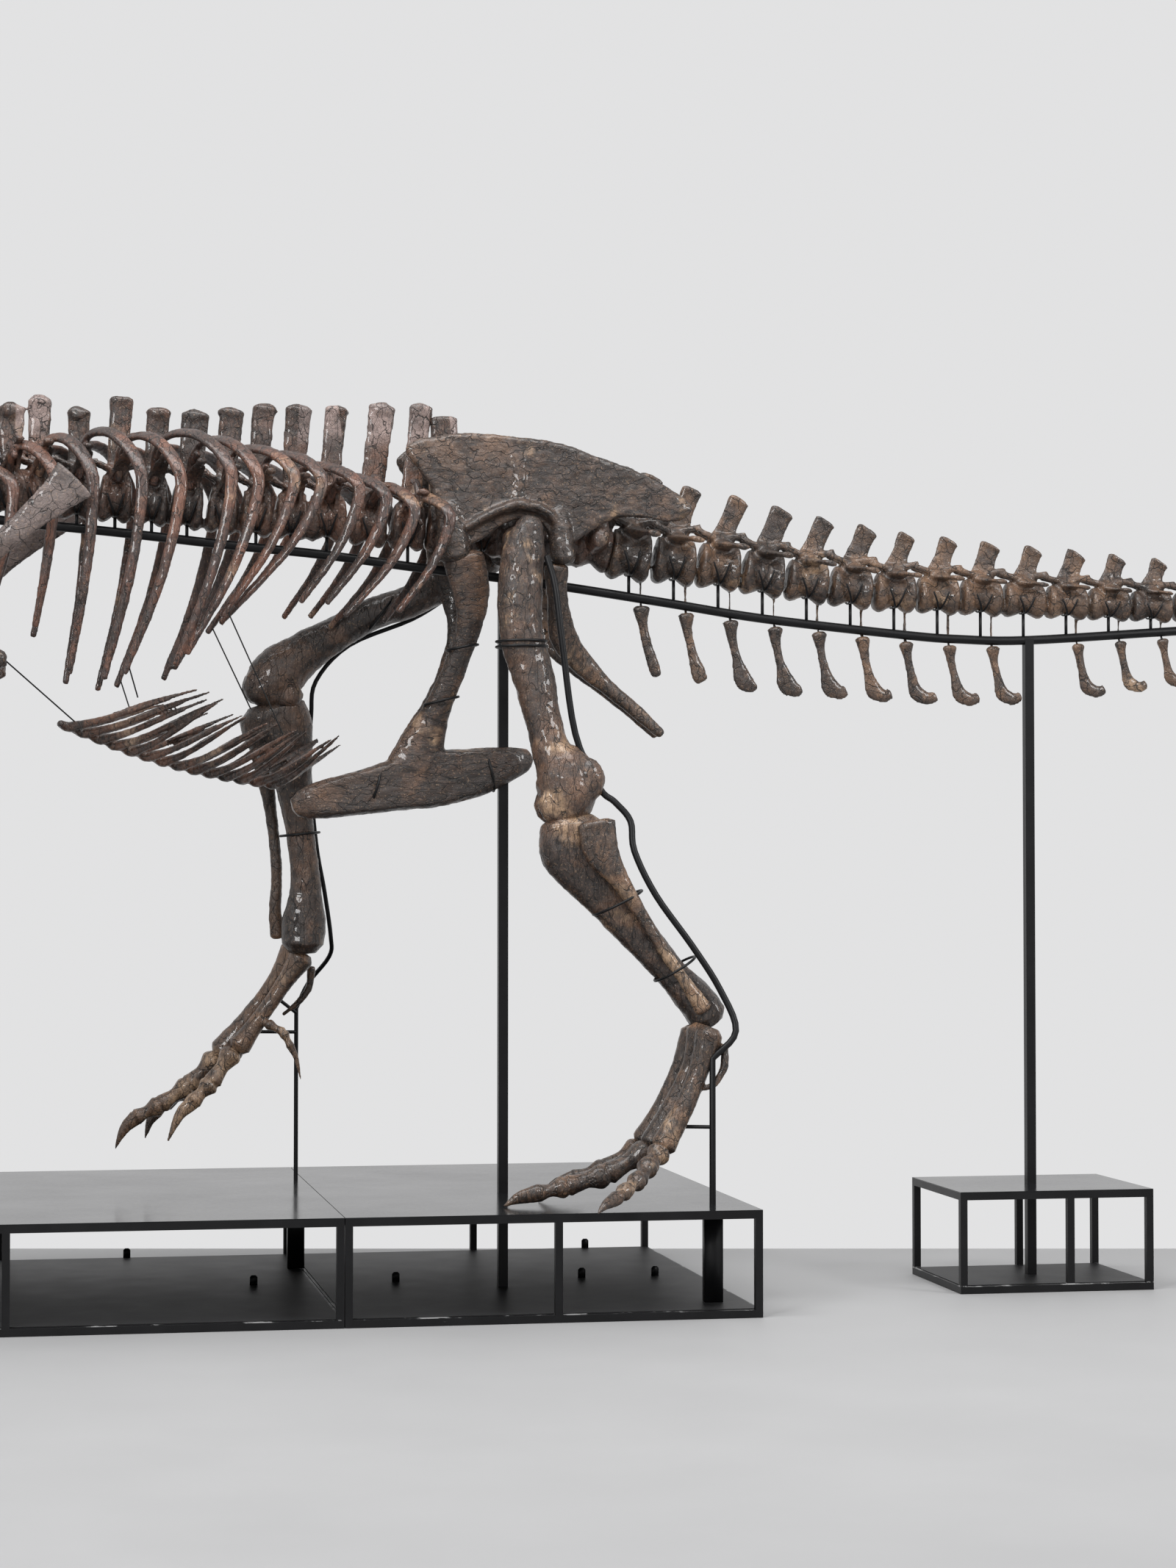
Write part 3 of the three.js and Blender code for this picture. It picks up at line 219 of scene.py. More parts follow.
class Graph:
    def __init__(self, name):
        self.material = bpy.data.materials.new(name)
        self.material.use_nodes = True
        self.tree = self.material.node_tree
        self.tree.nodes.clear()

    def node(self, kind, settings=None, inputs=(), output=0, **named):
        made = self.tree.nodes.new(kind)
        for key, value in (settings or {}).items():
            setattr(made, key, value)
        by_name = [(key.replace("_", " "), value) for key, value in named.items()]
        for key, value in list(enumerate(inputs)) + by_name:
            if isinstance(value, Wire):
                self.tree.links.new(value.socket, made.inputs[key])
            else:
                made.inputs[key].default_value = value
        return Wire(self, made.outputs[output]) if made.outputs else made

    def blend(self, factor, a, b):
        made = self.tree.nodes.new("ShaderNodeMix")
        made.data_type = "RGBA"
        for key, value in ((0, factor), (6, a), (7, b)):
            if isinstance(value, Wire):
                self.tree.links.new(value.socket, made.inputs[key])
            else:
                made.inputs[key].default_value = value
        return Wire(self, made.outputs[2])

    def finish(self, base, roughness, bump=None, strength=0.4, depth=0.004, coat=0.0, gloss=0.5):
        named = {"Base_Color": base, "Roughness": roughness, "Coat_Weight": coat,
                 "Specular_IOR_Level": gloss}
        if bump is not None:
            named["Normal"] = self.node(
                "ShaderNodeBump", Strength=strength, Distance=depth, Height=bump)
        shader = self.node("ShaderNodeBsdfPrincipled", **named)
        self.node("ShaderNodeOutputMaterial", Surface=shader)
        return self.material


# %% [markdown]
# ## Fossil bone
# The bone has turned to dark stone. It is chocolate brown, with rust and ochre where the old
# surface shows, near black in its cracks, and half glossy from the lacquer that holds it together.
# The grain runs along each bone, so the pattern is squeezed across it.

# %% The bone finish
PORE, CRACK = (0.012, 0.008, 0.006, 1), (0.008, 0.006, 0.005, 1)


def fossil(name, dark, mid, rust, pale, grain=(1, 1, 1), seed=0.0, pale_share=0.62,
           cells=(3, 3, 3), cap=None):
    """cap is an axis, where it starts and ends in metres, a tone for that end, and its rarity."""
    g = Graph(name)
    where = g.node("ShaderNodeTexCoord", output="Object")
    shift = g.node("ShaderNodeVectorMath", {"operation": "ADD"}, (where, (seed, seed * 0.7, -seed)))
    split = g.node("ShaderNodeVectorMath", {"operation": "MULTIPLY"}, (shift, cells))
    share = g.node("ShaderNodeTexVoronoi", {"feature": "SMOOTH_F1"}, Vector=split, Scale=1.0,
                   Smoothness=0.2, output="Color")
    fibre = g.node("ShaderNodeVectorMath", {"operation": "MULTIPLY"}, (shift, grain))
    broad = g.node("ShaderNodeTexNoise", Vector=shift, Scale=3.4, Detail=6.0, Roughness=0.62)
    patch = g.node("ShaderNodeTexNoise", Vector=shift, Scale=8.5, Detail=8.0, Roughness=0.7)
    streak = g.node("ShaderNodeTexNoise", Vector=fibre, Scale=26.0, Detail=7.0, Roughness=0.65)
    speck = g.node("ShaderNodeTexNoise", Vector=shift, Scale=120.0, Detail=3.0, Roughness=0.6)
    bent = g.node("ShaderNodeTexNoise", Vector=shift, Scale=11.0, Detail=3.0, output="Color")
    crooked = g.node("ShaderNodeVectorMath", {"operation": "MULTIPLY_ADD"},
                     (bent, (0.16, 0.16, 0.16), fibre))
    crack = g.node("ShaderNodeTexVoronoi", {"feature": "DISTANCE_TO_EDGE"},
                   Vector=crooked, Scale=9.0)
    fine = g.node("ShaderNodeTexVoronoi", {"feature": "DISTANCE_TO_EDGE"},
                  Vector=crooked, Scale=31.0)
    cracks = 1 - crack.above(0.004, 0.03)
    fines = (1 - fine.above(0.004, 0.05)) * patch.above(0.42, 0.6)
    base = g.blend(streak.above(0.36, 0.66), dark, mid)
    base = g.blend(patch.above(0.5, 0.66) * 0.8, base, rust)
    base = g.blend(share.above(0.5, 0.72) * patch.above(0.36, 0.6) * 0.8, base, rust)
    if cap:
        axis, start, end, tone, cut = cap
        along = g.node("ShaderNodeSeparateXYZ", Vector=where, output=axis)
        capped = along.above(start, end) * share.above(cut, cut + 0.14) * patch.above(0.3, 0.52)
        base = g.blend(capped * 0.85, base, tone)
    worn = broad.above(pale_share, pale_share + 0.12) * streak.above(0.3, 0.56)
    base = g.blend(worn * 0.9, base, pale)
    base = g.blend((1 - broad.above(0.4, 0.52)) * 0.6, base, dark)
    base = g.blend(speck.above(0.58, 0.7) * 0.4, base, pale)
    base = g.blend((1 - speck.above(0.3, 0.44)) * 0.5, base, PORE)
    base = g.blend(cracks * 0.85 + fines * 0.45, base, CRACK)
    rough = 0.24 + streak * 0.26 + cracks * 0.3 + broad * 0.1
    bump = streak * 0.5 + speck * 0.26 + patch * 0.5 - cracks * 0.8 - fines * 0.35
    return g.finish(base, rough, bump, strength=0.75, depth=0.009, coat=0.3)


DARK, MID = (0.012, 0.008, 0.0065, 1), (0.048, 0.028, 0.02, 1)
RUST, PALE = (0.125, 0.066, 0.039, 1), (0.34, 0.22, 0.13, 1)
GREY = (0.24, 0.18, 0.165, 1)
SLICES = (5.3, 0.6, 0.6)
FINISHES = {
    "upright": fossil("bone_upright", DARK, MID, RUST, PALE, (3.2, 3.2, 0.7), 0.0, 0.56, (2, 2, 3)),
    "long": fossil("bone_long", DARK, MID, (0.13, 0.07, 0.042, 1), PALE, (0.7, 3.0, 3.0), 4.1, 0.58,
                   (2, 2, 3)),
    "wing": fossil("bone_wing", DARK, (0.062, 0.037, 0.026, 1), (0.12, 0.07, 0.045, 1), PALE,
                   (0.7, 3.0, 2.0), 3.3, 0.57, (2, 2, 3)),
    "blade": fossil("bone_blade", DARK, MID, RUST, PALE, (1.4, 3.0, 2.0), 6.1, 0.57, (1, 1, 1),
                    ("X", -2.3, -1.95, (0.15, 0.115, 0.105, 1), 0.0)),
    "rib": fossil("bone_rib", (0.015, 0.0085, 0.0065, 1), (0.07, 0.03, 0.02, 1),
                  (0.15, 0.06, 0.034, 1), (0.3, 0.18, 0.11, 1), (3.0, 3.0, 0.6), 7.3, 0.6, (6, 3, 0.8)),
    "back": fossil("bone_back", (0.013, 0.0085, 0.0068, 1), (0.055, 0.029, 0.02, 1),
                   (0.13, 0.06, 0.036, 1), (0.32, 0.22, 0.15, 1), (2.2, 2.2, 1.2), 2.2, 0.57, SLICES,
                   ("Z", 3.52, 3.6, GREY, 0.58)),
    "tail": fossil("bone_tail", (0.014, 0.009, 0.007, 1), (0.058, 0.034, 0.023, 1),
                   (0.15, 0.084, 0.048, 1), (0.32, 0.21, 0.13, 1), (1.6, 2.2, 1.6), 5.7, 0.57, SLICES),
    "shin": fossil("bone_shin", (0.015, 0.0095, 0.007, 1), (0.08, 0.046, 0.029, 1),
                   (0.18, 0.098, 0.054, 1), (0.34, 0.225, 0.14, 1), (2.4, 2.4, 1.0), 9.9, 0.55, (3, 3, 3)),
}
print("bone finishes:", sorted(FINISHES))

# %% [markdown]
# ## From clay to bone
# The skins of one bone overlap where knobs grow out of shafts. A voxel remesh melts them into one
# closed surface, a smoothing pass softens the joins, and two cloud textures push the surface in
# and out, so the light finds the dents and swellings that real bone has.

# %% Fuse, roughen and place a bone
CLOUDS = {}
for cloud, size in (("swell", 0.11), ("dent", 0.035), ("pit", 0.012)):
    CLOUDS[cloud] = bpy.data.textures.new("bone_" + cloud, "CLOUDS")
    CLOUDS[cloud].noise_scale = size
    CLOUDS[cloud].noise_depth = 3


def mesh_object(name, verts, faces):
    mesh = bpy.data.meshes.new(name)
    mesh.from_pydata([tuple(v) for v in verts], [], faces)
    work = bmesh.new()
    work.from_mesh(mesh)
    bmesh.ops.recalc_face_normals(work, faces=work.faces)
    work.to_mesh(mesh)
    work.free()
    piece = bpy.data.objects.new(name, mesh)
    bpy.context.scene.collection.objects.link(piece)
    return piece


def bake_down(piece, name):
    """The modifiers' result as a plain mesh on a new object at the origin."""
    graph = bpy.context.evaluated_depsgraph_get()
    mesh = bpy.data.meshes.new_from_object(piece.evaluated_get(graph))
    bpy.data.objects.remove(piece)
    mesh.name = name
    done = bpy.data.objects.new(name, mesh)
    bpy.context.scene.collection.objects.link(done)
    return done


def dress(piece, material, nodes=()):
    piece.data.materials.clear()
    piece.data.materials.append(material)
    for polygon in piece.data.polygons:
        polygon.use_smooth = True
    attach(piece, "root")
    if nodes:
        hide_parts(*nodes)
    return piece


COARSE, QUICK_COARSE = 1.27, 2.0      # 1.27 scales up the voxel size of every bone; 1.27 keeps every bone under 200,000 triangles
PIT_SHARE = 0.35


def fuse(name, skins, finish, nodes, voxel=7.0, soft=2, swell=7.0, dent=5.0):
    verts, faces = [], []
    for points, polygons in skins:
        start = len(verts)
        verts.extend(points * MM)
        faces.extend(tuple(start + i for i in polygon) for polygon in polygons)
    piece = mesh_object(name + "_clay", verts, faces)
    melt = piece.modifiers.new("melt", "REMESH")
    melt.mode = "VOXEL"
    melt.voxel_size = voxel * MM * COARSE
    calm = piece.modifiers.new("calm", "SMOOTH")
    calm.iterations = soft
    for cloud, strength in (("swell", swell), ("dent", dent), ("pit", dent * PIT_SHARE)):
        push = piece.modifiers.new(cloud, "DISPLACE")
        push.texture = CLOUDS[cloud]
        push.texture_coords = "LOCAL"
        push.mid_level = 0.5
        push.strength = strength * MM
    done = bake_down(piece, name)
    dress(done, FINISHES[finish], nodes)
    print(name, len(done.data.polygons), "faces")
    return done


# %% [markdown]
# ## Backbone
# A vertebra is a drum with a narrow waist. Above it stand the arch and a tall blade with a rough,
# swollen top. Wings reach out at the sides, and two pairs of small knuckles lock it to the next.

# %% One vertebra
def vertebra(length, radius, top, lean, width, thick, reach, rise, back, lock=1.0):
    half, r = length / 2, radius
    skins = [
        sweep([
            (-half, 0, -4, r * 0.98, r * 0.86), (-half * 0.82, 0, -4, r * 1.16, r),
            (-half * 0.4, 0, 0, r * 0.97, r * 0.74),
            (0, 0, 4, r * 0.84, r * 0.6), (half * 0.4, 0, 0, r * 0.97, r * 0.74),
            (half * 0.82, 0, -4, r * 1.16, r), (half, 0, -4, r * 0.98, r * 0.86),
        ], 18, steps=2, blunt=0.06),
        sweep([
            (0, 0, r * 0.5, length * 0.4, r * 0.5), (0, 0, r * 1.1, length * 0.36, r * 0.42),
            (lean * 0.1, 0, r * 1.55, length * 0.3, r * 0.28),
        ], 12, steps=2, square=2.6),
    ]
    if top:
        skins.append(sweep([
            (lean * 0.05, 0, r * 1.25, length * 0.33, thick * 0.5),
            (lean * 0.42, 0, mix(r * 1.3, top, 0.42), width * 0.47, thick * 0.36),
            (lean * 0.8, 0, mix(r * 1.3, top, 0.8), width * 0.49, thick * 0.44),
            (lean, 0, top - 10, width * 0.52, thick * 0.66),
        ], 14, steps=3, square=3.4, blunt=0.4))
    for s in (-1, 1):
        if reach:
            skins.append(sweep([
                (0, s * r * 0.3, r * 1.05, length * 0.26, r * 0.3),
                (back * 0.45, s * mix(r * 0.4, reach, 0.5), mix(r * 1.15, rise, 0.6),
                 length * 0.13, r * 0.13),
                (back, s * reach, rise, length * 0.2, r * 0.17),
            ], 10, side=(0, 0, 1), steps=3))
        if lock:
            skins.append(sweep([
                (0, s * r * 0.26, r * 1.3, 17, 15),
                (-length * 0.42, s * r * 0.36, r * 1.46, 13 * lock, 12),
                (-length * 0.64, s * r * 0.34, r * 1.62, 15 * lock, 8),
            ], 8, steps=2))
            skins.append(sweep([
                (0, s * r * 0.2, r * 1.4, 16, 13),
                (length * 0.58, s * r * 0.26, r * 1.72, 15 * lock, 9),
            ], 8, steps=2))
    return skins


# %% [markdown]
# ## Chest
# Every back vertebra carries a pair of ribs. A rib leaves the drum with one head and the wing with
# another, turns over its shoulder, and sweeps back and down to a flat, thin end.

# %% The rows of the back
BACK = [
    (-2215, 3640, 3420, 120, 215, -2110, 2905), (-2060, 3680, 3500, 130, 290, -1945, 2750),
    (-1935, 3712, 3530, 155, 360, -1810, 2560), (-1775, 3668, 3555, 185, 425, -1675, 2535),
    (-1620, 3728, 3540, 180, 470, -1595, 2555), (-1470, 3682, 3555, 230, 495, -1395, 2590),
    (-1325, 3672, 3530, 190, 500, -1350, 2635), (-1180, 3690, 3500, 190, 490, -1210, 2790),
    (-1040, 3708, 3480, 160, 470, -1155, 2830), (-895, 3708, 3440, 175, 430, -890, 2855),
    (-745, 3712, 3400, 140, 385, -780, 2855), (-570, 3728, 3365, 85, 335, -700, 2810),
    (-405, 3732, 3330, 75, 285, -475, 2835),
]
BACK_RADIUS = 86
draw = random.Random(7)


def rib_path(row, s):
    x, _, shoulder, back, wide, tip_x, tip_z = row
    z = height(SPINE, x)
    far = x + back + 60
    return [
        (x + 5, s * 45, z + 70), (x + 35, s * min(150, wide * 0.5), mix(z + 90, shoulder, 0.85)),
        (mix(x, far, 0.55), s * wide * 0.66, shoulder - 22),
        (mix(x, far, 0.92), s * wide * 0.93, mix(shoulder, tip_z, 0.14)),
        (far, s * wide, mix(shoulder, tip_z, 0.28)),
        (mix(far, tip_x, 0.35), s * wide * 0.985, mix(shoulder, tip_z, 0.62)),
        (tip_x, s * wide * 0.88, tip_z),
    ]


def rib(row, s):
    broad = (22, 25, 30, 28, 25, 21, 14)
    thick = (16, 15, 14, 14, 13, 12, 9)
    stations = [(*p, b, t) for p, b, t in zip(rib_path(row, s), broad, thick)]
    x, _, shoulder, _, wide, _, _ = row
    head = sweep([
        (x + 30, s * min(190, wide * 0.6), shoulder - 55, 15, 13),
        (x + 22, s * 120, height(SPINE, x) + 165, 16, 14),
        (x + 10, s * 70, height(SPINE, x) + 185, 15, 13),
    ], 10, steps=3)
    return [sweep(stations, 12, side=(0, s * 0.75, 0.66), steps=6, square=2.5), head]


# %% Chest vertebrae and ribs
chest = []
for i, row in enumerate(BACK):
    x, top = row[0], row[1]
    after = BACK[i + 1][0] if i + 1 < len(BACK) else x + 158
    bone = vertebra(
        length=after - x - 26, radius=BACK_RADIUS, top=top - height(SPINE, x), lean=-18 + i * 3,
        width=draw.uniform(92, 122), thick=draw.uniform(34, 48), reach=min(225, row[4] * 0.68),
        rise=200 - i * 6, back=34)
    knob = (-18 + i * 3 + draw.uniform(-14, 14), draw.uniform(-6, 6), top - height(SPINE, x) - 22)
    bone.append(lump(knob, draw.uniform(40, 54), draw.uniform(24, 32), draw.uniform(24, 40)))
    for s in (-1, 1):
        wing = min(225, row[4] * 0.68)
        for start, end in ((-44, 10), (30, 44)):
            bone.append(sweep([(start, s * 52, 30, 13, 10), (mix(start, end, 0.5), s * 84, 110, 10, 8),
                               (end, s * wing * 0.72, 176 - i * 5, 12, 8)], 8, steps=3))
    chest += placed(bone, on_spine(x))
fuse("chest_backbone", chest, "back", (), voxel=6.5, swell=8, dent=7)
for s, side in ((-1, "left"), (1, "right")):
    ribs = [part for row in BACK for part in rib(row, s)]
    fuse("ribs_" + side, ribs, "rib", ("trunk_" + side,), voxel=5.5, soft=1, swell=5, dent=4)

# %% [markdown]
# ## Belly ribs
# Under the chest lies a basket of thin bones. Each pair crosses at the midline and rises back and
# outwards, and a second splint lies along its outer half. They are many, sharp and close.

# %% Belly ribs
BELLY_ROWS = 14
BELLY_REACH = 410


def belly_row(t):
    sag = 34 * math.sin(math.pi * t)
    return mix(-1790, -955, t), mix(2360, 2128, t) - sag


belly = []
for i in range(BELLY_ROWS):
    t = i / (BELLY_ROWS - 1)
    x, z = belly_row(t)
    for s in (-1, 1):
        tip_x = mix(-1350, -680, t) + draw.uniform(-90, 60)
        tip_z = mix(2480, 2300, t) + draw.uniform(-22, 22)
        out = BELLY_REACH * draw.uniform(0.86, 1.0)
        belly.append(sweep([
            (x - 50, -s * 24, z + 14, 14, 16), (x - 10, s * 12, z, 22, 18),
            (mix(x, tip_x, 0.2), s * out * 0.3, mix(z, tip_z, 0.14), 15, 13),
            (mix(x, tip_x, 0.45), s * out * 0.6, mix(z, tip_z, 0.38), 12, 10),
            (mix(x, tip_x, 0.78), s * out * 0.86, mix(z, tip_z, 0.74), 6, 6),
        ], 10, side=(0.4, 0.9, 0), steps=4))
        belly.append(sweep([
            (mix(x, tip_x, 0.3) + 16, s * out * 0.4, mix(z, tip_z, 0.22) + 16, 7, 7),
            (mix(x, tip_x, 0.6) + 14, s * out * 0.74, mix(z, tip_z, 0.54) + 14, 11, 8),
            (tip_x, s * out, tip_z, 5, 4),
        ], 8, side=(0.4, 0.9, 0), steps=4))
fuse("belly_ribs", belly, "back", ("gastralia",), voxel=4, soft=1, swell=3, dent=4)

# %% [markdown]
# ## Neck
# The neck rises from the chest in a short S. Its vertebrae are like those of the back, with lower
# blades and a pair of thin ribs that point backwards.

# %% Neck vertebrae
NECK_FROM, NECK_TO, NECK_COUNT = -3165, -2355, 9
NECK_PITCH = (NECK_TO - NECK_FROM) / (NECK_COUNT - 1)


def neck_place(i):
    """Where a neck bone stands along x, and how thick its drum is."""
    t = i / (NECK_COUNT - 1)
    return mix(NECK_FROM, NECK_TO, t), mix(58, 84, t)


neck = []
for i in range(NECK_COUNT):
    t = i / (NECK_COUNT - 1)
    x, radius = neck_place(i)
    bone = vertebra(
        length=NECK_PITCH / math.cos(slope(x)) - 16, radius=radius, top=mix(150, 262, t),
        lean=mix(20, -10, t), width=mix(62, 84, t), thick=36, reach=mix(88, 128, t), rise=mix(30, 80, t), back=14)
    for s in (-1, 1):
        bone.append(sweep([
            (-20, s * radius * 0.7, radius * 0.1, 17, 15),
            (14, s * radius * 1.2, -radius * 0.4, 13, 11),
            (mix(56, 92, t), s * radius * 1.48, -radius * 0.8, 6, 5),
        ], 8, steps=3))
    neck += placed(bone, on_spine(x))
neck.append(lump((-3226, 0, height(SPINE, -3226) + 8), 38, 56, 50))
fuse("neck_bones", neck, "back", ("neck",), voxel=6, dent=5)

# %% [markdown]
# ## Skull
# A skull of this animal is a frame of thick bars round big openings: nostril, the opening before
# the eye, the eye itself and the opening behind it. So we roll each bar by itself and let them
# melt together, which leaves the openings free.

# %% Skull frame
SNOUT, TOOTH_ROW, TILT = -4585, 3520, -0.06


def skull_place(verts):
    c, n = math.cos(-TILT), math.sin(-TILT)
    axes = np.array([[c, 0, n], [0, 1, 0], [-n, 0, c]])
    return np.array([SNOUT, 0, TOOTH_ROW]) + verts @ axes


def upper_width(x):
    return float(np.interp(x, (0, 70, 220, 420, 620, 770), (50, 90, 106, 120, 134, 160)))


skull = [
    sweep([(18, 0, 78, 62, 48), (60, 0, 118, 104, 88), (110, 0, 132, 104, 98)], 16, side=(0, 1, 0)),
    sweep([(60, 0, 214, 26, 50), (250, 0, 296, 32, 74), (480, 0, 345, 34, 78), (700, 0, 382, 36, 92),
           (860, 0, 420, 40, 150), (1000, 0, 428, 40, 170), (1120, 0, 420, 44, 90)], 16),
    lump((1110, 0, 300), 170, 92, 112),
    lump((1345, 0, 152), 36, 40, 40),
    sweep([(1190, 0, 250, 100, 86), (1300, 0, 190, 80, 66), (1345, 0, 152, 40, 42)], 14),
    sweep([(1262, -226, 350, 38, 62), (1275, -100, 408, 26, 84), (1280, 0, 418, 26, 88),
           (1275, 100, 408, 26, 84), (1262, 226, 350, 38, 62)], 12, side=(0, 0, 1)),
    sweep([(300, 0, 92, 14, 84), (640, 0, 104, 14, 112), (980, 0, 90, 16, 120)], 12),
]
for s in (-1, 1):
    skull += [
        sweep([(80, s * 86, 66, 84, 26), (250, s * 112, 42, 84, 24), (440, s * 128, 8, 60, 24),
               (620, s * 142, 0, 44, 24), (760, s * 170, 14, 40, 24)], 14, square=2.6),
        sweep([(250, s * 112, 60, 60, 24), (330, s * 112, 170, 46, 22), (420, s * 104, 268, 40, 22),
               (560, s * 96, 330, 34, 24)], 12),
        sweep([(150, s * 84, 300, 14, 20), (90, s * 88, 220, 22, 20), (100, s * 92, 150, 30, 22)], 10),
        sweep([(690, s * 118, 392, 44, 34), (712, s * 146, 300, 30, 26), (716, s * 158, 170, 30, 24),
               (726, s * 176, 50, 46, 26)], 12),
        sweep([(700, s * 150, 36, 40, 24), (880, s * 222, 50, 56, 24), (1010, s * 258, 36, 52, 24),
               (1180, s * 284, -30, 48, 26)], 12),
        sweep([(700, s * 118, 408, 30, 34), (800, s * 158, 448, 38, 34), (930, s * 208, 432, 46, 42),
               (1010, s * 226, 396, 44, 36)], 12),
        sweep([(950, s * 222, 420, 46, 36), (946, s * 240, 280, 34, 26), (962, s * 254, 160, 30, 24),
               (990, s * 262, 60, 46, 24)], 12),
        sweep([(980, s * 224, 410, 34, 30), (1110, s * 236, 396, 28, 26), (1240, s * 230, 356, 46, 34)], 12),
        sweep([(1240, s * 236, 350, 44, 32), (1238, s * 262, 200, 34, 30), (1226, s * 276, 60, 40, 34),
               (1226, s * 262, -88, 46, 44)], 12),
        sweep([(1240, s * 268, 190, 44, 20), (1150, s * 270, 206, 40, 18), (1080, s * 266, 214, 22, 14)], 10),
        sweep([(700, s * 66, 96, 20, 18), (1000, s * 116, 66, 26, 20), (1210, s * 222, -20, 44, 34)], 10),
    ]
fuse("skull_bones", placed(skull, skull_place), "long", ("skull",), voxel=6.5, swell=10, dent=8)

# %% [markdown]
# ## Lower jaw
# Two deep bars meet at the chin. We draw the jaw shut and then swing it open about its hinge.

# %% Jaw bars
HINGE, OPEN = (1236, -150), 0.2


def jaw_place(verts):
    c, n = math.cos(-OPEN), math.sin(-OPEN)
    moved = verts - np.array([HINGE[0], 0, HINGE[1]])
    axes = np.array([[c, 0, -n], [0, 1, 0], [n, 0, c]])
    return skull_place(moved @ axes + np.array([HINGE[0], 0, HINGE[1]]))


def jaw_width(x):
    return mix(52, 236, (x / 1240) ** 0.85)


jaw = [lump((66, 0, -124), 50, 58, 48)]
for s in (-1, 1):
    jaw += [
        sweep([(44, s * 40, -118, 44, 30), (160, s * jaw_width(160), -128, 60, 27),
               (420, s * jaw_width(420), -132, 64, 25), (700, s * jaw_width(700), -148, 80, 23),
               (900, s * jaw_width(900), -150, 106, 21), (1060, s * jaw_width(1060), -156, 98, 23),
               (1180, s * jaw_width(1180), -176, 56, 34), (1236, s * jaw_width(1236), -180, 36, 46),
               (1318, s * (jaw_width(1236) - 8), -190, 24, 26)], 14, square=2.5),
        sweep([(640, s * (jaw_width(640) + 12), -132, 10, 12), (900, s * (jaw_width(900) + 16), -118, 16, 12),
               (1160, s * (jaw_width(1160) + 8), -140, 14, 14)], 8),
    ]
fuse("jaw_bones", placed(jaw, jaw_place), "long", ("mandible",), voxel=6, swell=8, dent=6)

# %% [markdown]
# ## Things set on points
# Teeth, posts, saddles and lugs are one shape set many times. A Geometry Nodes tree puts an object on
# every point, turned and scaled by the point's own numbers, and then makes real mesh of it all.

# %% The setting tree
def socket_id(tree, name):
    return next(item.identifier for item in tree.interface.items_tree
                if item.item_type == "SOCKET" and item.in_out == "INPUT" and item.name == name)


def empty_tree(label, sockets):
    """A tree with the named inputs, and its two end nodes."""
    tree = bpy.data.node_groups.new(label, "GeometryNodeTree")
    for name, kind in sockets:
        tree.interface.new_socket(name, in_out="INPUT", socket_type="NodeSocket" + kind)
    tree.interface.new_socket("Geometry", in_out="OUTPUT", socket_type="NodeSocketGeometry")
    return tree, tree.nodes.new("NodeGroupInput"), tree.nodes.new("NodeGroupOutput")


def realize_and_paint(tree, start, end, made):
    """Real mesh of what was made, in the material of the tree's input."""
    real = tree.nodes.new("GeometryNodeRealizeInstances")
    paint = tree.nodes.new("GeometryNodeSetMaterial")
    tree.links.new(made, real.inputs["Geometry"])
    tree.links.new(real.outputs["Geometry"], paint.inputs["Geometry"])
    tree.links.new(start.outputs["Material"], paint.inputs["Material"])
    tree.links.new(paint.outputs["Geometry"], end.inputs["Geometry"])


def setting_tree():
    tree, start, end = empty_tree("set_on_points", (
        ("Geometry", "Geometry"), ("Thing", "Object"), ("Material", "Material")))
    thing = tree.nodes.new("GeometryNodeObjectInfo")
    points = tree.nodes.new("GeometryNodeInstanceOnPoints")
    tree.links.new(start.outputs["Geometry"], points.inputs["Points"])
    tree.links.new(start.outputs["Thing"], thing.inputs["Object"])
    tree.links.new(thing.outputs["Geometry"], points.inputs["Instance"])
    for attribute, target in (("turn", "Rotation"), ("size", "Scale")):
        read = tree.nodes.new("GeometryNodeInputNamedAttribute")
        read.data_type = "FLOAT_VECTOR"
        read.inputs["Name"].default_value = attribute
        tree.links.new(read.outputs["Attribute"], points.inputs[target])
    realize_and_paint(tree, start, end, points.outputs["Instances"])
    return tree


SET_ON_POINTS = setting_tree()


def set_things(name, thing, spots, material):
    """spots are (place in millimetres, turn in radians, size)."""
    mesh = bpy.data.meshes.new(name + "_points")
    mesh.from_pydata([tuple(np.array(place) * MM) for place, _, _ in spots], [], [])
    for label, column in (("turn", 1), ("size", 2)):
        data = mesh.attributes.new(label, "FLOAT_VECTOR", "POINT")
        for item, spot in zip(data.data, spots):
            item.vector = spot[column]
    piece = bpy.data.objects.new(name + "_points", mesh)
    bpy.context.scene.collection.objects.link(piece)
    nodes = piece.modifiers.new("set", "NODES")
    nodes.node_group = SET_ON_POINTS
    nodes[socket_id(SET_ON_POINTS, "Thing")] = thing
    nodes[socket_id(SET_ON_POINTS, "Material")] = material
    done = bake_down(piece, name)
    bpy.data.objects.remove(thing)
    dress(done, material)
    print(name, len(spots), "set,", len(done.data.polygons), "faces")
    return done


# %% [markdown]
# ## Teeth
# A tooth is a thick blade that curves back. The crowns are darker and glossier than the bone.

# %% Teeth in both jaws
def enamel():
    g = Graph("enamel")
    where = g.node("ShaderNodeTexCoord", output="Object")
    stain = g.node("ShaderNodeTexNoise", Vector=where, Scale=45.0, Detail=5.0)
    tone = g.blend(stain.above(0.35, 0.7), (0.05, 0.03, 0.02, 1), (0.17, 0.1, 0.06, 1))
    return g.finish(tone, 0.22 + stain * 0.15, stain, strength=0.2, depth=0.002, coat=0.3)


ENAMEL = enamel()


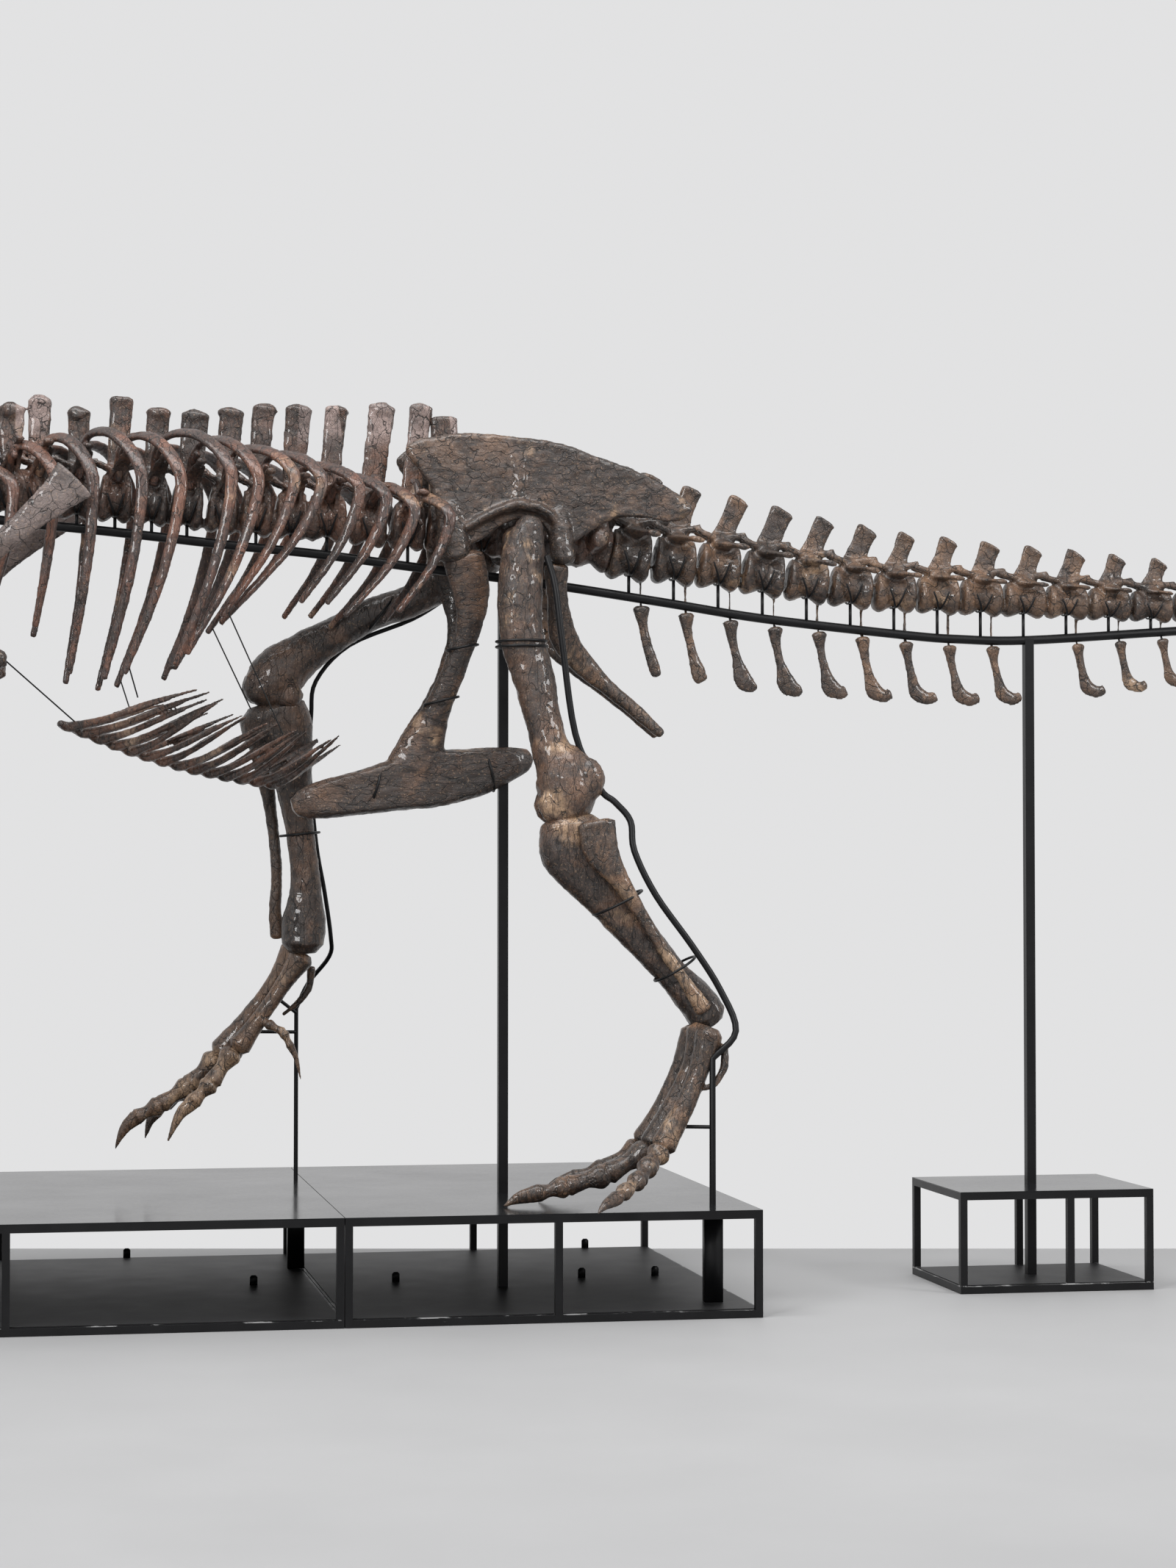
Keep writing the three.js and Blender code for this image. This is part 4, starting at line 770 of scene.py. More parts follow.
def tooth():
    skins = [sweep([(0, 0, 30, 20, 13), (2, 0, 0, 19, 12), (12, 0, -50, 14, 9), (30, 0, -96, 3, 3)],
                   12, steps=3)]
    return mesh_object("tooth", skins[0][0] * MM, skins[0][1])


def jaw_teeth(name, count, start, end, width, root, place, up):
    spots = []
    for i in range(count):
        t = i / (count - 1)
        x = mix(start, end, t)
        size = (0.62 + 0.5 * math.sin(math.pi * min(1, t * 0.9 + 0.14))) * draw.uniform(0.8, 1.12)
        for s in (-1, 1):
            spot = place(np.array([[x, s * width(x), root]]))[0]
            lean = draw.uniform(-0.08, 0.08)
            turn = (math.pi if up else 0, lean - (OPEN if up else 0) * 0.6, 0)
            spots.append((spot, turn, (size, size, size * (0.8 if up else 1))))
    return set_things(name, tooth(), spots, ENAMEL)


jaw_teeth("upper_teeth", 14, 40, 690, upper_width, -20, skull_place, False)
jaw_teeth("lower_teeth", 12, 66, 650, lambda x: jaw_width(x) - 4, -62, jaw_place, True)

# %% [markdown]
# ## Shoulders and arms
# The shoulder blade is a long flat strap that widens into a plate by the arm. The arm is short,
# with two clawed fingers.

# %% Shoulder blades and arms
BLADE_Y = 447
SHOULDER, ELBOW, WRIST = (-2448, 420, 2712), (-2075, 322, 2608), (-2255, 300, 2470)


def between(a, b, rows, s):
    """Stations along a line from a to b: share of the way, radius and side radius."""
    return [(mix(a[0], b[0], t), s * mix(a[1], b[1], t), mix(a[2], b[2], t), r, q) for t, r, q in rows]


def shaft(a, b, thick, ends, s, sides=14):
    rows = ((0, ends, ends * 0.8), (0.12, thick * 1.3, thick * 1.2), (0.45, thick, thick * 0.95),
            (0.82, thick * 1.05, thick), (0.94, ends * 0.9, ends * 0.75), (1, ends * 0.85, ends * 0.7))
    return sweep(between(a, b, rows, s), sides)


for s, side in ((-1, "left"), (1, "right")):
    blade = [
        sweep([
            (-1795, s * (BLADE_Y + 8), 3326, 96, 12), (-1870, s * (BLADE_Y + 5), 3252, 74, 13),
            (-2040, s * (BLADE_Y - 8), 3102, 50, 17), (-2230, s * (BLADE_Y - 30), 2930, 56, 20),
            (-2370, s * (BLADE_Y - 52), 2810, 104, 24), (-2470, s * (BLADE_Y - 90), 2725, 138, 28),
            (-2570, s * (BLADE_Y - 160), 2655, 118, 18), (-2640, s * (BLADE_Y - 250), 2620, 56, 12),
        ], 18, steps=5),
        lump((-2448, s * 372, 2738), 56, 44, 50),
    ]
    fuse("shoulder_" + side, blade, "blade", ("scapula_" + side,), voxel=5.5)
    fuse("arm_" + side, [shaft(SHOULDER, ELBOW, 26, 44, s)], "long", ("upper_arm_" + side,), voxel=4)
    fore = [shaft(ELBOW, WRIST, 19, 30, s),
            shaft((-2089, 288, 2604), (-2243, 266, 2466), 14, 24, s)]
    for off, long, size in ((24, 1.0, 15), (-26, 0.78, 17)):
        root = (WRIST[0] + 6, WRIST[1] - 16 + off * 0.6, WRIST[2] + 4)
        palm = (WRIST[0] - 78, WRIST[1] - 10 + off, WRIST[2] - 56)
        knuckle = (WRIST[0] - 70 - 90 * long, WRIST[1] - 10 + off * 1.3, WRIST[2] - 50 - 66 * long)
        claw = (knuckle[0] - 60 * long, knuckle[1], knuckle[2] - 76 * long)
        fore += [shaft(root, palm, size * 0.7, size * 1.1, s, 10),
                 shaft(palm, knuckle, size * 0.66, size, s, 10),
                 sweep([(knuckle[0] + 8, s * knuckle[1], knuckle[2] + 6, size * 1.1),
                        (mix(knuckle[0], claw[0], 0.6), s * claw[1], mix(knuckle[2], claw[2], 0.35), size * 0.7),
                        (claw[0], s * claw[1], claw[2], 2)], 10)]
    fuse("forearm_bones_" + side, fore, "long", ("forearm_" + side,), voxel=3.6, swell=3, dent=3)

# %% [markdown]
# ## Hips
# The hip blade is a long lens of bone, thick round the leg socket and thin at its upper rim. The
# pubis ends in a great boot, and the two rods of the ischium meet and part again at their tips.

# %% Sacrum and hip blades
SACRUM_RADIUS = 84


def sacrum_x(i):
    return -248 + i * 158


hips = []
for i in range(5):
    x, taper = sacrum_x(i), abs(i - 2) * 5
    bone = vertebra(length=152, radius=SACRUM_RADIUS, top=0, lean=0, width=0, thick=0,
                    reach=150 - taper, rise=100, back=0, lock=0)
    for s in (-1, 1):
        bone.append(sweep([(0, s * 40, 20, 52, 60), (0, s * (146 - taper), 50, 40, 72)], 10,
                          side=(0, 0, 1)))
    hips += placed(bone, on_spine(x))
    hips.append(sweep([(x + 10, 0, 3280, 70, 20), (x + 2, 0, 3450, 62, 14),
                       (x - 6, 0, (3672, 3590, 3575, 3545, 3495)[i], 58, 22)], 14, square=3, steps=3))
hips.append(slab([(-318, 3250), (-300, 3560), (-100, 3590), (200, 3560), (420, 3480), (460, 3210)], 0, 30))
fuse("hip_backbone", hips, "back", ("sacrum",), voxel=6.5)

ILIUM_Y = 172
ILIUM = [
    (-385, 3560), (-435, 3520), (-420, 3475), (-365, 3405), (-330, 3360), (-300, 3200), (-250, 3120),
    (-150, 3130), (-60, 3190), (35, 3235), (135, 3215), (180, 3150), (250, 3130), (310, 3165),
    (445, 3245), (560, 3255), (695, 3235), (775, 3290), (715, 3360), (505, 3460), (335, 3515),
    (200, 3560), (20, 3578), (-185, 3590),
]
for s, side in ((-1, "left"), (1, "right")):
    wing = [
        slab(ILIUM, s * ILIUM_Y, 42, rim=0.95, steps=3),
        sweep([(-262, s * 175, 3290, 44, 28), (-245, s * 178, 3180, 62, 46), (-232, s * 178, 3072, 74, 56)], 16),
        sweep([(205, s * 178, 3280, 40, 26), (215, s * 182, 3170, 50, 44), (224, s * 182, 3070, 54, 50)], 16),
        sweep([(-190, s * 200, 3190, 18, 26), (-60, s * 214, 3262, 22, 34), (40, s * 218, 3290, 24, 36),
               (150, s * 208, 3262, 20, 28), (215, s * 190, 3190, 16, 22)], 12),
        sweep([(30, s * 190, 3290, 34, 16), (40, s * 194, 3420, 26, 12), (20, s * 186, 3540, 40, 10)], 12),
        sweep([(-380, s * 176, 3500, 34, 16), (-100, s * 180, 3560, 20, 14), (300, s * 178, 3505, 22, 14),
               (690, s * 176, 3300, 44, 16)], 10, steps=5),
    ]
    fuse("hip_blade_" + side, wing, "wing", ("ilium_" + side,), voxel=6, swell=14, dent=10)

# %% Pubis and ischium
BOOT = [
    (-895, 2065), (-820, 2125), (-560, 2205), (-385, 2260), (-230, 2278), (-20, 2290), (100, 2280),
    (120, 2210), (20, 2140), (-110, 2080), (-285, 2035), (-385, 2028), (-770, 1988), (-870, 2005),
]
INNER_BOOT = [(x * 0.97 - 8, z * 0.99 + 21) for x, z in BOOT]
pubis = [slab(BOOT, 0, 128, rim=0.86), slab(INNER_BOOT, 0, 84, rim=0.95)]
ischium = []
for s in (-1, 1):
    pubis.append(sweep([
        (-195, s * 172, 3070, 90, 48), (-160, s * 160, 2930, 80, 36), (-165, s * 128, 2780, 54, 30),
        (-215, s * 86, 2620, 48, 30), (-285, s * 48, 2450, 58, 36), (-345, s * 30, 2300, 95, 42),
        (-380, s * 26, 2190, 116, 46)], 18, steps=5))
    ischium.append(sweep([
        (196, s * 172, 3036, 54, 38), (205, s * 150, 2920, 44, 30), (236, s * 110, 2760, 60, 24),
        (320, s * 52, 2655, 52, 24), (450, s * 30, 2540, 34, 24), (570, s * 40, 2440, 30, 20),
        (668, s * 58, 2350, 20, 15)], 16, steps=5))
pubis.append(sweep([(-190, 0, 2700, 20, 88), (-250, 0, 2540, 22, 60), (-330, 0, 2330, 30, 48)], 12))
fuse("pubis_bones", pubis, "long", ("pubis",), voxel=6.5, swell=9, dent=7)
fuse("ischium_bones", ischium, "shin", ("ischium",), voxel=5.5)

# %% [markdown]
# ## Legs
# Each leg is one thigh bone, two shin bones, three long foot bones with a thin splint behind, and
# the toes. The left leg stands straight and the right one swings forward, so each has its own
# stations, while the way a bone is made is the same.

# %% The two legs, as drawn
LEFT = {
    "femur": [
        (62, 320, 3205, 50, 60), (40, 318, 3105, 84, 74), (20, 325, 2960, 92, 80), (22, 338, 2745, 92, 74),
        (65, 352, 2585, 88, 68), (105, 368, 2400, 76, 66), (138, 382, 2262, 82, 78),
        (186, 396, 2180, 120, 104), (204, 404, 2080, 120, 108), (188, 408, 2000, 92, 92)],
    "head": [(40, 330, 3128, 62, 58), (32, 230, 3138, 54, 54), (30, 180, 3138, 70, 66)],
    "knobs": [((292, 350, 2128), 62, 50, 92), ((286, 446, 2140), 60, 46, 96), ((150, 448, 2040), 76, 44, 84),
              ((150, 362, 2040), 78, 44, 86)],
    "tibia": [
        (222, 414, 1955, 136, 96), (232, 418, 1850, 144, 88), (318, 424, 1722, 110, 70),
        (402, 430, 1615, 88, 60), (515, 438, 1480, 74, 56), (632, 446, 1345, 66, 56),
        (726, 452, 1245, 78, 82), (778, 456, 1170, 82, 94)],
    "fibula": [
        (300, 520, 1962, 80, 32), (322, 524, 1850, 74, 28), (398, 524, 1730, 42, 25), (468, 524, 1620, 30, 23),
        (562, 528, 1470, 25, 21), (656, 534, 1330, 25, 21), (742, 540, 1205, 38, 25)],
    "metatarsals": [
        [(722, 444, 1104, 58), (664, 440, 960, 38), (590, 428, 800, 38), (524, 410, 668, 54)],
        [(738, 520, 1112, 64), (686, 528, 975, 34), (612, 542, 815, 44), (530, 556, 662, 60)],
        [(752, 596, 1106, 58), (706, 610, 965, 42), (636, 632, 812, 42), (548, 654, 664, 54)]],
    "splint": [(812, 606, 1060, 18), (808, 618, 975, 16), (764, 622, 905, 14), (694, 622, 884, 8)],
    "toes": [
        ([(505, 400, 640), (365, 392, 552), (226, 388, 512)], (84, 380, 430), 50),
        ([(510, 560, 640), (330, 585, 545), (163, 604, 503), (38, 615, 478)], (-96, 622, 430), 56),
        ([(530, 668, 640), (466, 752, 590), (408, 838, 545), (340, 920, 510), (286, 992, 488)],
         (196, 1092, 442), 50)],
    "hallux": ([(660, 400, 830), (668, 372, 740), (650, 356, 690)], (600, 344, 590), 24),
}
RIGHT = {
    "femur": [
        (78, 318, 3190, 56, 58), (-20, 318, 3128, 80, 70), (-170, 330, 3030, 76, 70), (-340, 348, 2935, 70, 66),
        (-505, 366, 2878, 70, 66), (-655, 382, 2795, 74, 66), (-800, 396, 2705, 92, 80),
        (-900, 404, 2625, 116, 102), (-950, 410, 2560, 104, 104), (-930, 412, 2496, 64, 84)],
    "head": [(20, 330, 3128, 62, 58), (26, 230, 3138, 54, 54), (28, 180, 3138, 70, 66)],
    "knobs": [((-1000, 360, 2560), 60, 46, 78), ((-1000, 458, 2560), 60, 44, 78), ((-880, 364, 2520), 72, 46, 62),
              ((-880, 452, 2520), 72, 46, 62)],
    "tibia": [
        (-935, 420, 2456, 146, 92), (-905, 424, 2370, 152, 86), (-862, 430, 2250, 106, 70),
        (-838, 436, 2115, 74, 64), (-808, 444, 1930, 62, 56), (-785, 452, 1710, 66, 56),
        (-792, 458, 1550, 94, 78), (-795, 460, 1460, 90, 90)],
    "fibula": [
        (-1000, 526, 2436, 70, 30), (-975, 526, 2320, 56, 26), (-945, 524, 2130, 34, 23), (-918, 524, 1950, 25, 21),
        (-902, 526, 1750, 25, 21), (-908, 532, 1600, 28, 21), (-892, 540, 1492, 36, 25)],
    "metatarsals": [
        [(-800, 470, 1400, 56), (-880, 480, 1280, 36), (-985, 486, 1130, 36), (-1062, 490, 1022, 52)],
        [(-826, 544, 1420, 64), (-912, 558, 1290, 33), (-1030, 586, 1120, 42), (-1126, 606, 996, 58)],
        [(-812, 618, 1412, 56), (-890, 640, 1280, 40), (-1000, 676, 1110, 40), (-1082, 708, 985, 52)]],
    "splint": [(-742, 618, 1350, 18), (-752, 630, 1265, 16), (-800, 636, 1200, 14), (-862, 640, 1150, 8)],
    "toes": [
        ([(-1088, 494, 1000), (-1182, 490, 866), (-1262, 484, 785)], (-1366, 478, 622), 48),
        ([(-1150, 612, 968), (-1266, 620, 850), (-1390, 628, 766), (-1496, 632, 712)], (-1582, 634, 580), 54),
        ([(-1104, 718, 962), (-1196, 752, 880), (-1276, 776, 812), (-1346, 792, 768), (-1400, 800, 722)],
         (-1446, 806, 610), 48)],
    "hallux": ([(-948, 452, 1120), (-880, 434, 1082), (-848, 428, 1020)], (-806, 424, 880), 24),
}


# %% Making a leg
def side_of(s, stations):
    return [(p[0], s * p[1], *p[2:]) for p in stations]


def digit(s, bones, tip, size):
    """Waisted toe bones with knuckles, then a curved claw."""
    skins = []
    for i in range(len(bones) - 1):
        thick = size * 0.9 ** i
        rows = ((0.05, thick * 0.9, thick * 0.95), (0.18, thick, thick * 0.98),
                (0.5, thick * 0.62, thick * 0.64), (0.78, thick * 0.74, thick * 0.8), (0.93, thick * 0.86, thick * 0.84))
        skins.append(sweep(between(bones[i], bones[i + 1], rows, s), 14, steps=3))
    root, thick = bones[-1], size * 0.78 * 0.92 ** (len(bones) - 2)
    hook = (mix(root[0], tip[0], 0.55), mix(root[1], tip[1], 0.55), mix(root[2], tip[2], 0.36))
    skins.append(sweep(side_of(s, [(*root, thick, thick * 0.8), (*hook, thick * 0.66, thick * 0.5),
                                   (*tip, 4, 3)]), 12, steps=6))
    return skins


def build_leg(s, side, leg):
    thigh = [sweep(side_of(s, leg["femur"]), 22, steps=5), sweep(side_of(s, leg["head"]), 16)]
    thigh += [lump((c[0], s * c[1], c[2]), *radii) for c, *radii in leg["knobs"]]
    fuse("thigh_" + side, thigh, "upright", ("femur_" + side,), voxel=6.5, swell=12, dent=8)
    fuse("shin_" + side, [sweep(side_of(s, leg["tibia"]), 20, steps=5, square=2.3)], "upright",
         ("tibia_" + side,), voxel=6, swell=10, dent=7)
    fuse("outer_shin_" + side, [sweep(side_of(s, leg["fibula"]), 16, steps=5)], "shin",
         ("fibula_" + side,), voxel=5, swell=5, dent=5)
    foot = [sweep(side_of(s, row), 16, steps=5) for row in leg["metatarsals"]]
    foot.append(sweep(side_of(s, leg["splint"]), 10, steps=4))
    inner, root = leg["metatarsals"][0][2], leg["hallux"][0][0]
    foot.append(sweep(side_of(s, [(*inner[:3], 16), (*root, 20)]), 8, side=(1, 0, 0)))
    fuse("foot_" + side, foot, "shin", ("metatarsus_" + side,), voxel=4.6, swell=6, dent=5)
    toes = [part for bones, tip, size in leg["toes"] for part in digit(s, bones, tip, size)]
    fuse("toes_" + side + "_bones", toes, "shin", ("toes_" + side,), voxel=4, soft=1, swell=5, dent=4)
    bones, tip, size = leg["hallux"]
    fuse("spur_" + side, digit(s, bones, tip, size), "shin", ("hallux_" + side,), voxel=3.2, swell=3, dent=3)


build_leg(-1, "left", LEFT)
build_leg(1, "right", RIGHT)

# %% [markdown]
# ## Tail
# The tail is one long row that shrinks towards its tip. The blades lean back, the wings get
# shorter, and a chevron bone hangs behind each drum with its root beside the rail. From the
# seventh on the chevrons have a foot that points backwards.

# %% Tail places
TAIL_COUNT, TAIL_FIRST, TAIL_LAST = 36, 540, 6200
TAIL_SPLITS = (0, 1900, 3800, 9000)
CHEVRONS, POST_CHEVRON = 26, 9


def tail_places():
    places, x, pitch = [], TAIL_FIRST, 187
    for i in range(TAIL_COUNT):
        places.append((x, pitch, i / (TAIL_COUNT - 1)))
        x += pitch
        if i > 11:
            pitch *= 0.972
    scale = (TAIL_LAST - TAIL_FIRST) / (places[-1][0] - TAIL_FIRST)
    return [(TAIL_FIRST + (x - TAIL_FIRST) * scale, pitch * scale, t) for x, pitch, t in places]


def tail_radius(t):
    return mix(94, 17, min(1, t * 1.06) ** 0.8)


def chevron(x, pitch, t, i):
    cx = x + pitch * 0.3
    bottom = height(SPINE, cx) - tail_radius(t) * 0.72
    rail = height(RAIL, cx)
    long = mix(300, 70, min(1, t * 1.35))
    thick = mix(33, 11, t)
    fork = rail - RAIL_RADIUS - 18
    clear = RAIL_RADIUS + 13
    back = long * 0.2
    foot = mix(104, 40, t) if i > 5 else (10, 26, 52, 66, 74, 80)[i]
    heel = (0.8, 1.05, 1.3, 1.4, 1.35, 1.3)[i] if i < 6 else 1.2
    skins = [
        sweep([(cx, clear, bottom, 7, 6), (cx, clear, rail - 8, 7, 6), (cx + 4, 8, fork - 12, 9, 8)], 8),
        sweep([(cx - 3, 0, fork - 2, thick * 1.15, 24),
               (cx + 2, 0, fork - long * 0.22, thick * 0.72, 15),
               (cx + back * 0.4, 0, fork - long * 0.55, thick * 0.7, 13),
               (cx + back * 0.85, 0, fork - long * 0.84, thick * heel, 14),
               (cx + back + foot * 0.3, 0, fork - long + 14, thick * heel * 0.9, 14)], 12, steps=5),
    ]
    if i > 1:
        skins.append(sweep([
            (cx + back * 0.7, 0, fork - long * 0.86, thick * 0.9, 12),
            (cx + back + foot * 0.4, 0, fork - long + 10, thick, 12),
            (cx + back + foot * 0.85, 0, fork - long + 22, thick * 0.85, 10)], 12, steps=4))
    return skins


# %% Tail vertebrae and chevrons
places = tail_places()
for part, name in enumerate(("tail_base", "tail_middle", "tail_end")):
    skins = []
    for i, (x, pitch, t) in enumerate(places):
        if not TAIL_SPLITS[part] <= x < TAIL_SPLITS[part + 1]:
            continue
        radius = tail_radius(t)
        bone = vertebra(
            length=pitch - mix(26, 9, t), radius=radius, top=mix(355, 60, t ** 0.62) if i < 27 else 0,
            lean=mix(56, 28, min(1, t * 2)) + draw.uniform(-8, 8),
            width=mix(112, 44, t) * draw.uniform(0.8, 1.05),
            thick=mix(34, 14, t), reach=mix(236, 70, i / 14) if i < 15 else 0, rise=radius * 0.85,
            back=54, lock=mix(1.2, 0.5, t) if i < 27 else 0)
        skins += placed(bone, on_spine(x))
        if i < CHEVRONS and i != POST_CHEVRON:
            skins += chevron(x, pitch, t, i)
    fuse(name + "_bones", skins, "tail", (name,), voxel=5.5 if part < 2 else 4, swell=7 - part * 2,
         dent=6 - part)

# %% [markdown]
# ## Black steel
# The mount is painted black. The paint is thin: it shines softly, has faint brush marks, and on
# the square tubes it is scuffed to bare metal in a few thin scratches.

# %% Steel and plate finishes
def black_paint(name, tone, shine, scuffs, scale=7.0, worn=None):
    """worn is the height in metres of an edge whose paint has rubbed off."""
    g = Graph(name)
    where = g.node("ShaderNodeTexCoord", output="Object")
    cloud = g.node("ShaderNodeTexNoise", Vector=where, Scale=scale, Detail=6.0, Roughness=0.6)
    fine = g.node("ShaderNodeTexNoise", Vector=where, Scale=scale * 28, Detail=3.0)
    long = g.node("ShaderNodeVectorMath", {"operation": "MULTIPLY"}, (where, (0.5, 2.0, 6.0)))
    scratch = g.node("ShaderNodeTexNoise", Vector=long, Scale=14.0, Detail=9.0, Roughness=0.75)
    mask = scratch.above(0.69, 0.74) * scuffs
    if worn:
        level = g.node("ShaderNodeSeparateXYZ", Vector=where, output="Z")
        patchy = g.node("ShaderNodeTexNoise", Vector=where, Scale=5.0, Detail=7.0, Roughness=0.7)
        mask = mask + level.above(worn - 0.004, worn - 0.001) * (1 - level.above(worn, worn + 0.003)) \
            * patchy.above(0.5, 0.56) * 0.8
    base = g.blend(cloud.above(0.35, 0.7), tone, tuple(c * 1.5 for c in tone[:3]) + (1,))
    base = g.blend(mask, base, (0.5, 0.5, 0.5, 1))
    return g.finish(base, shine + cloud * 0.12 + fine * 0.05 + mask * 0.2, fine * 0.4 + cloud * 0.3,
                    strength=0.12, depth=0.001, gloss=0.22)


STEEL = black_paint("black_steel", (0.004, 0.004, 0.0045, 1), 0.3, 0.0)
TUBES = black_paint("black_tubes", (0.004, 0.004, 0.0045, 1), 0.32, 0.5, worn=0.032)
PLATE = black_paint("table_plate", (0.006, 0.0063, 0.007, 1), 0.08, 0.0, 2.0)
SHEET = black_paint("lower_sheet", (0.012, 0.012, 0.0125, 1), 0.4, 0.1)
WIRE = black_paint("dark_wire", (0.006, 0.006, 0.006, 1), 0.35, 0.0)
KEPT = {"stand_post": STEEL, "stand_frame": TUBES, "stand_plate": PLATE, "stand_sheet": SHEET}
for name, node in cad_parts.items():
    for start, material in KEPT.items():
        if name.startswith(start):
            for slot in node.material_slots:
                slot.material = material
            if not node.material_slots:
                node.data.materials.append(material)
print("kept solids repainted")

# %% [markdown]
# ## Bars that follow a path
# The rail, the leg bars and the wires are all round bars bent to a path. One Geometry Nodes tree
# sweeps a circle along a curve, and its radius and number of sides are inputs.

# %% The bending tree
def bending_tree():
    tree, start, end = empty_tree("bent_bar", (
        ("Geometry", "Geometry"), ("Radius", "Float"), ("Sides", "Int"), ("Material", "Material")))
    circle = tree.nodes.new("GeometryNodeCurvePrimitiveCircle")
    sweep_node = tree.nodes.new("GeometryNodeCurveToMesh")
    tree.links.new(start.outputs["Radius"], circle.inputs["Radius"])
    tree.links.new(start.outputs["Sides"], circle.inputs["Resolution"])
    tree.links.new(start.outputs["Geometry"], sweep_node.inputs["Curve"])
    tree.links.new(circle.outputs["Curve"], sweep_node.inputs["Profile Curve"])
    sweep_node.inputs["Fill Caps"].default_value = True
    realize_and_paint(tree, start, end, sweep_node.outputs["Mesh"])
    return tree


BENT_BAR = bending_tree()


def bent_bars(name, paths, radius, material, nodes=(), sides=16):
    """Round bars, one along each path of points in millimetres."""
    curve = bpy.data.curves.new(name + "_path", "CURVE")
    curve.dimensions = "3D"
    for path in paths:
        spline = curve.splines.new("POLY")
        spline.points.add(len(path) - 1)
        for point, place in zip(spline.points, path):
            point.co = (*[c * MM for c in place], 1)
    piece = bpy.data.objects.new(name + "_path", curve)
    bpy.context.scene.collection.objects.link(piece)
    nodes_on = piece.modifiers.new("bend", "NODES")
    nodes_on.node_group = BENT_BAR
    nodes_on[socket_id(BENT_BAR, "Radius")] = radius * MM
    nodes_on[socket_id(BENT_BAR, "Sides")] = sides
    nodes_on[socket_id(BENT_BAR, "Material")] = material
    done = bake_down(piece, name)
    dress(done, material, nodes)
    print(name, len(paths), "bars,", len(done.data.polygons), "faces")
    return done


# %% Rail, leg bars and wires
rail_path = [(x, 0, z) for x, z in trace(RAIL, 6)]
bent_bars("rail_bar", [rail_path], RAIL_RADIUS, STEEL,
          ("stand_rail_trunk", "stand_rail_tail", "stand_rail_tail_end"))
LEFT_BAR = [
    (755, -640, 330), (755, -640, 1010), (858, -615, 1120), (800, -575, 1290), (690, -555, 1465),
    (545, -530, 1670), (462, -500, 1850), (452, -470, 1972), (392, -448, 2050), (330, -430, 2110),
    (232, -420, 2330), (178, -420, 2700), (150, -410, 2935), (120, -385, 3060),
]
RIGHT_BAR = [
    (-790, 800, 330), (-790, 800, 1170), (-740, 780, 1280), (-655, 705, 1400), (-655, 650, 1490),
    (-690, 590, 1690), (-730, 545, 1890), (-765, 510, 2230), (-760, 480, 2440), (-742, 455, 2590),
    (-600, 440, 2745), (-330, 420, 2860), (-170, 400, 2960),
]


def leg_bar(path):
    """Straight up from the table, then a smooth run along the bones."""
    return [path[0]] + [tuple(p) for p in trace(path[1:], 5)]


def socket_box(x, y):
    foot = [(x - 36, y - 30), (x + 36, y - 30), (x + 36, y + 30), (x - 36, y + 30)]
    return skin(np.array([[(*corner, z) for corner in foot] for z in (34, 420.5)], float))


for name, path, width in (("left", LEFT_BAR, 13.5), ("right", RIGHT_BAR, 9.5)):
    bent_bars("leg_bar_" + name, [leg_bar(path)], width, STEEL,
              ("stand_leg_rod_" + name,))
    verts, faces = socket_box(path[0][0], path[0][1])
    dress(mesh_object("leg_socket_" + name, verts * MM, faces), STEEL)


def hoop(centre, rx, ry, tilt=0.0, start=0.0, end=2 * math.pi, turns=28):
    """A ring of wire round a bone, level unless it is tilted along x."""
    points = []
    for i in range(turns + 1):
        a = mix(start, end, i / turns)
        x, y = rx * math.cos(a), ry * math.sin(a)
        points.append((centre[0] + x, centre[1] + y, centre[2] + x * tilt))
    return points


stays = [
    [(755, -640, 735), (690, -615, 735), (640, -600, 735)], [(-790, 800, 1150), (-905, 655, 1235)],
    [(-790, 800, 1066), (-1040, 690, 1075)],
]
bent_bars("foot_stays", stays, 8, STEEL, sides=10)
hoops = [
    hoop((22, -338, 2712), 104, 88, 0.02), hoop((22, -338, 2690), 104, 88, 0.02),
    hoop((402, -450, 1640), 100, 104, 0.5), hoop((632, -490, 1370), 82, 96, 0.6),
    hoop((-808, 470, 1930), 84, 96, 0.1), hoop((-470, 366, 2885), 60, 80, 1.4),
    hoop((-190, -110, 2700), 66, 62, 0.2), hoop((-270, -60, 2480), 72, 56, 0.25),
    hoop((-540, 0, 2120), 20, 78, 3.6), hoop((-60, 0, 2190), 20, 72, -4.2),
]
bent_bars("bone_hoops", hoops, 5.5, STEEL, sides=8)


def belly_wire(s, row, t, share):
    end = trace(rib_path(BACK[row], s), 20)[-3]
    x, z = belly_row(t)
    tip = (mix(-1500, -690, t), mix(2478, 2290, t))
    return [tuple(end), (mix(x, tip[0], share), s * BELLY_REACH * 0.93, mix(z, tip[1], share))]


wires = [belly_wire(s, row, t, 0.86) for row, t in ((4, 0.0), (7, 5 / 7)) for s in (-1, 1)]
belly_wire_nodes = tuple("stand_belly_wire_%d" % i for i in (1, 2, 3, 4))
bent_bars("belly_wires", wires, 3.0, WIRE, belly_wire_nodes, 8)
arm_path = [(-2068, -322, 2612), (-1770, -20, 2372)]
bent_bars("arm_wire", [arm_path], 3.2, WIRE, ("stand_arm_wire",), 8)

# %% [markdown]
# ## Saddles
# A short post stands on the rail under each vertebra, and a forked cradle hugs the drum. Both are
# set on points by the same tree as the teeth, with the post stretched to its height.

# %% Saddles and posts on the rail
def stub():
    verts, faces = sweep([(0, 0, 0, 7), (0, 0, 1000, 7)], 10, steps=1, blunt=0.0)
    return mesh_object("stub", verts * MM, faces)


